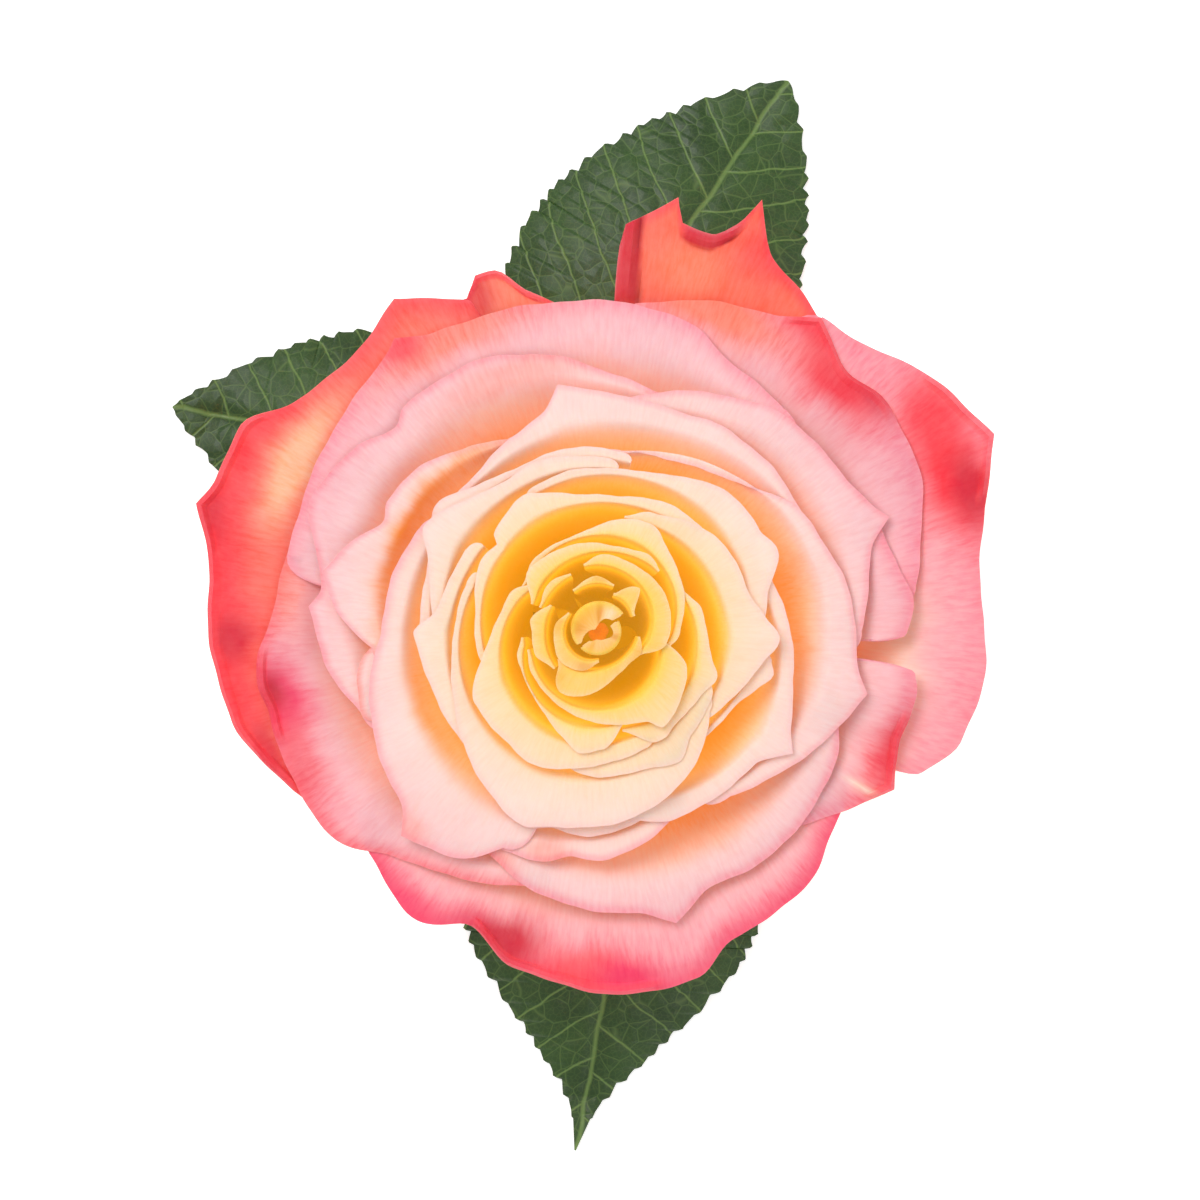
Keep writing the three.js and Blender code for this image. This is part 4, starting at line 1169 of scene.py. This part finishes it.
def painted_amber_glow_above(material, height, blend):
    """Paints a skin amber above a height, with a painted glow there, over the given stretch, both in mm.
    """
    tree = material.node_tree
    shader = tree.nodes["Principled BSDF"]
    green = shader.inputs["Base Color"].links[0].from_socket
    place = put(tree, "ShaderNodeTexCoord")
    axes = put(tree, "ShaderNodeSeparateXYZ", [(0, place.outputs["Object"])])
    crown = ramp_between(tree, axes.outputs["Z"], height * MM, (height + blend) * MM)
    tree.links.new(blend_colour(tree, crown, green, GLOW_AMBER), shader.inputs["Base Color"])
    # A painted glow on the amber crown, standing in for light passed through the petals
    shader.inputs["Emission Color"].default_value = GLOW_AMBER
    tree.links.new(times(tree, crown, 0.3), shader.inputs["Emission Strength"])


painted_amber_glow_above(HIP_SKIN, HIP_HEIGHT, 3)
dome = HIP_RADIUS - 0.35
under = [
    (STEM_RADIUS, HIP_HEIGHT - 8.4), (STEM_RADIUS + 0.7, HIP_HEIGHT - 7.8),
    (dome * 0.62, HIP_HEIGHT - 6.4), (dome * 0.80, HIP_HEIGHT - 4.9),
    (dome * 0.93, HIP_HEIGHT - 3.0), (dome * 0.985, HIP_HEIGHT - 1.4),
]
over = []
for deg in range(0, 90, 6):
    turn = math.radians(deg)
    over.append((dome * math.cos(turn), HIP_HEIGHT + dome * math.sin(turn)))
hip = turned_piece("hip_soft", under + over, 64, 0.004)
stands_for(hip, "hip", HIP_SKIN)
print("hip faces", len(hip.data.polygons))

# %% Stem and pistils
stem_top = stem_high[2] / MM
stem_line = [
    (STEM_RADIUS * 0.97, 0.0), (STEM_RADIUS, 0.35), (STEM_RADIUS * 0.99, stem_top * 0.3),
    (STEM_RADIUS, stem_top * 0.42), (STEM_RADIUS * 0.98, stem_top * 0.6),
    (STEM_RADIUS * 0.97, stem_top), (STEM_RADIUS * 0.9, stem_top + 0.25),
]
stem = turned_piece("stem_soft", stem_line, 48, 0.012)
stands_for(stem, "stem", STEM_SKIN)

pistil_foot, pistil_top = (corner[2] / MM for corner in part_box("pistils"))
pistil_line = [
    (0.75, pistil_foot), (0.7, pistil_foot + 3), (0.85, pistil_top - 1.6),
    (0.98, pistil_top - 0.8), (0.6, pistil_top - 0.1),
]
pistils = turned_piece("pistils_soft", pistil_line, 24, 0.05)
stands_for(pistils, "pistils", PISTIL_FELT)
print("stem faces", len(stem.data.polygons), "pistil faces", len(pistils.data.polygons))

# %% Furled heart
BUD_SINK = 2.0  # the bud ends this far below its solid's top, in the shade of the core petals
bud_foot, bud_solid_top = (corner[2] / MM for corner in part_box("heart_bud"))
bud_top = bud_solid_top - BUD_SINK
bud_tall = bud_top - bud_foot
bud_line = [
    (0.3, bud_foot), (0.8, bud_foot + 1), (1.1, bud_foot + bud_tall * 0.4),
    (1.3, bud_foot + bud_tall * 0.7), (1.25, bud_top - 2.4), (1.05, bud_top - 1.2),
    (0.6, bud_top - 0.4), (0.15, bud_top),
]
bud = turned_piece("heart_bud_soft", bud_line, 40, 0.05)
height = np.array([v.co.z for v in bud.data.vertices]) / MM
# The bud is painted darker towards its foot, as shade deep in the heart, and given a painted glow
# standing in for light through the petals round it
share = smooth((height - bud_top + 8) / 8)
shaded_foot_tone = np.tile(linear((216, 162, 34)), (len(height), 1))
paint(bud, "petal_painted_through_light", np.full(len(height), 0.14))
paint(bud, "petal_colour", mix(shaded_foot_tone, linear((244, 176, 88)), share))
stands_for(bud, "heart_bud", INNER_PETAL)
print("bud faces", len(bud.data.polygons))

# %% [markdown]
# ## Floor, light and camera
# The flower lies on a plain white surface that almost glows, under very soft light from above and
# a little from the left. The camera looks straight down from far off with a long lens, so the
# petals are hardly foreshortened.

# %% Floor
deselect_all()
bpy.ops.mesh.primitive_plane_add(size=4, location=(0, 0, 0))
floor = bpy.context.object
floor.name = "floor"
paper, tree, shader = new_material("Floor, white paper")
place = put(tree, "ShaderNodeTexCoord")
grain = put(tree, "ShaderNodeTexNoise",
            [("Vector", place.outputs["Object"]), ("Scale", 600.0), ("Detail", 3.0)])
tone = put(tree, "ShaderNodeMapRange",
           [("Value", grain.outputs[0]), ("To Min", 0.955), ("To Max", 0.975)])
tree.links.new(tone.outputs[0], shader.inputs["Base Color"])
shader.inputs["Roughness"].default_value = 0.9
shader.inputs["Specular IOR Level"].default_value = 0.0
shader.inputs["Emission Color"].default_value = (1, 0.995, 1, 1)
shader.inputs["Emission Strength"].default_value = 0.50
floor.data.materials.append(paper)
print("floor", round(floor.dimensions.x, 1), "m wide")

# %% Light
world = bpy.context.scene.world or bpy.data.worlds.new("Studio")
bpy.context.scene.world = world
world.use_nodes = True
sky = world.node_tree.nodes["Background"]
sky.inputs["Color"].default_value = (1.0, 0.99, 0.98, 1)
sky.inputs["Strength"].default_value = 0.58


def soft_box(name, place, size, power):
    lamp = bpy.data.lights.new(name, "AREA")
    lamp.size = size
    lamp.energy = power
    holder = bpy.data.objects.new(name, lamp)
    bpy.context.scene.collection.objects.link(holder)
    holder.location = place
    towards_bloom = Vector((0, 0, 0.03)) - Vector(place)
    holder.rotation_euler = towards_bloom.to_track_quat("-Z", "Y").to_euler()


soft_box("key_above_left", (-0.35, 0.35, 0.9), 0.55, 5.0)
soft_box("fill_right", (0.6, -0.25, 0.7), 0.8, 1.5)
print("sky strength", round(sky.inputs["Strength"].default_value, 2), "and two soft boxes")

# %% Camera
VIEW_WIDTH = 150.94 * MM  # how much of the surface the frame takes in
EYE_HEIGHT = 1.1
FOCUS_HEIGHT = 0.040
SENSOR = 36.0
SHIFT_X, SHIFT_Y = 0.00025, 0.0040  # the bloom sits a little below the middle
camera_data = bpy.data.cameras.new("camera")
camera = bpy.data.objects.new("camera", camera_data)
bpy.context.scene.collection.objects.link(camera)
camera_data.sensor_width = SENSOR
camera_data.lens = SENSOR * (EYE_HEIGHT - FOCUS_HEIGHT) / VIEW_WIDTH
camera_data.clip_start = 0.05
camera.location = (AXIS_X + SHIFT_X, AXIS_Y + SHIFT_Y, EYE_HEIGHT)
camera.rotation_euler = (0, 0, 0)
bpy.context.scene.camera = camera
bpy.context.scene.view_settings.view_transform = "Standard"
print("lens", round(camera_data.lens, 1), "mm")
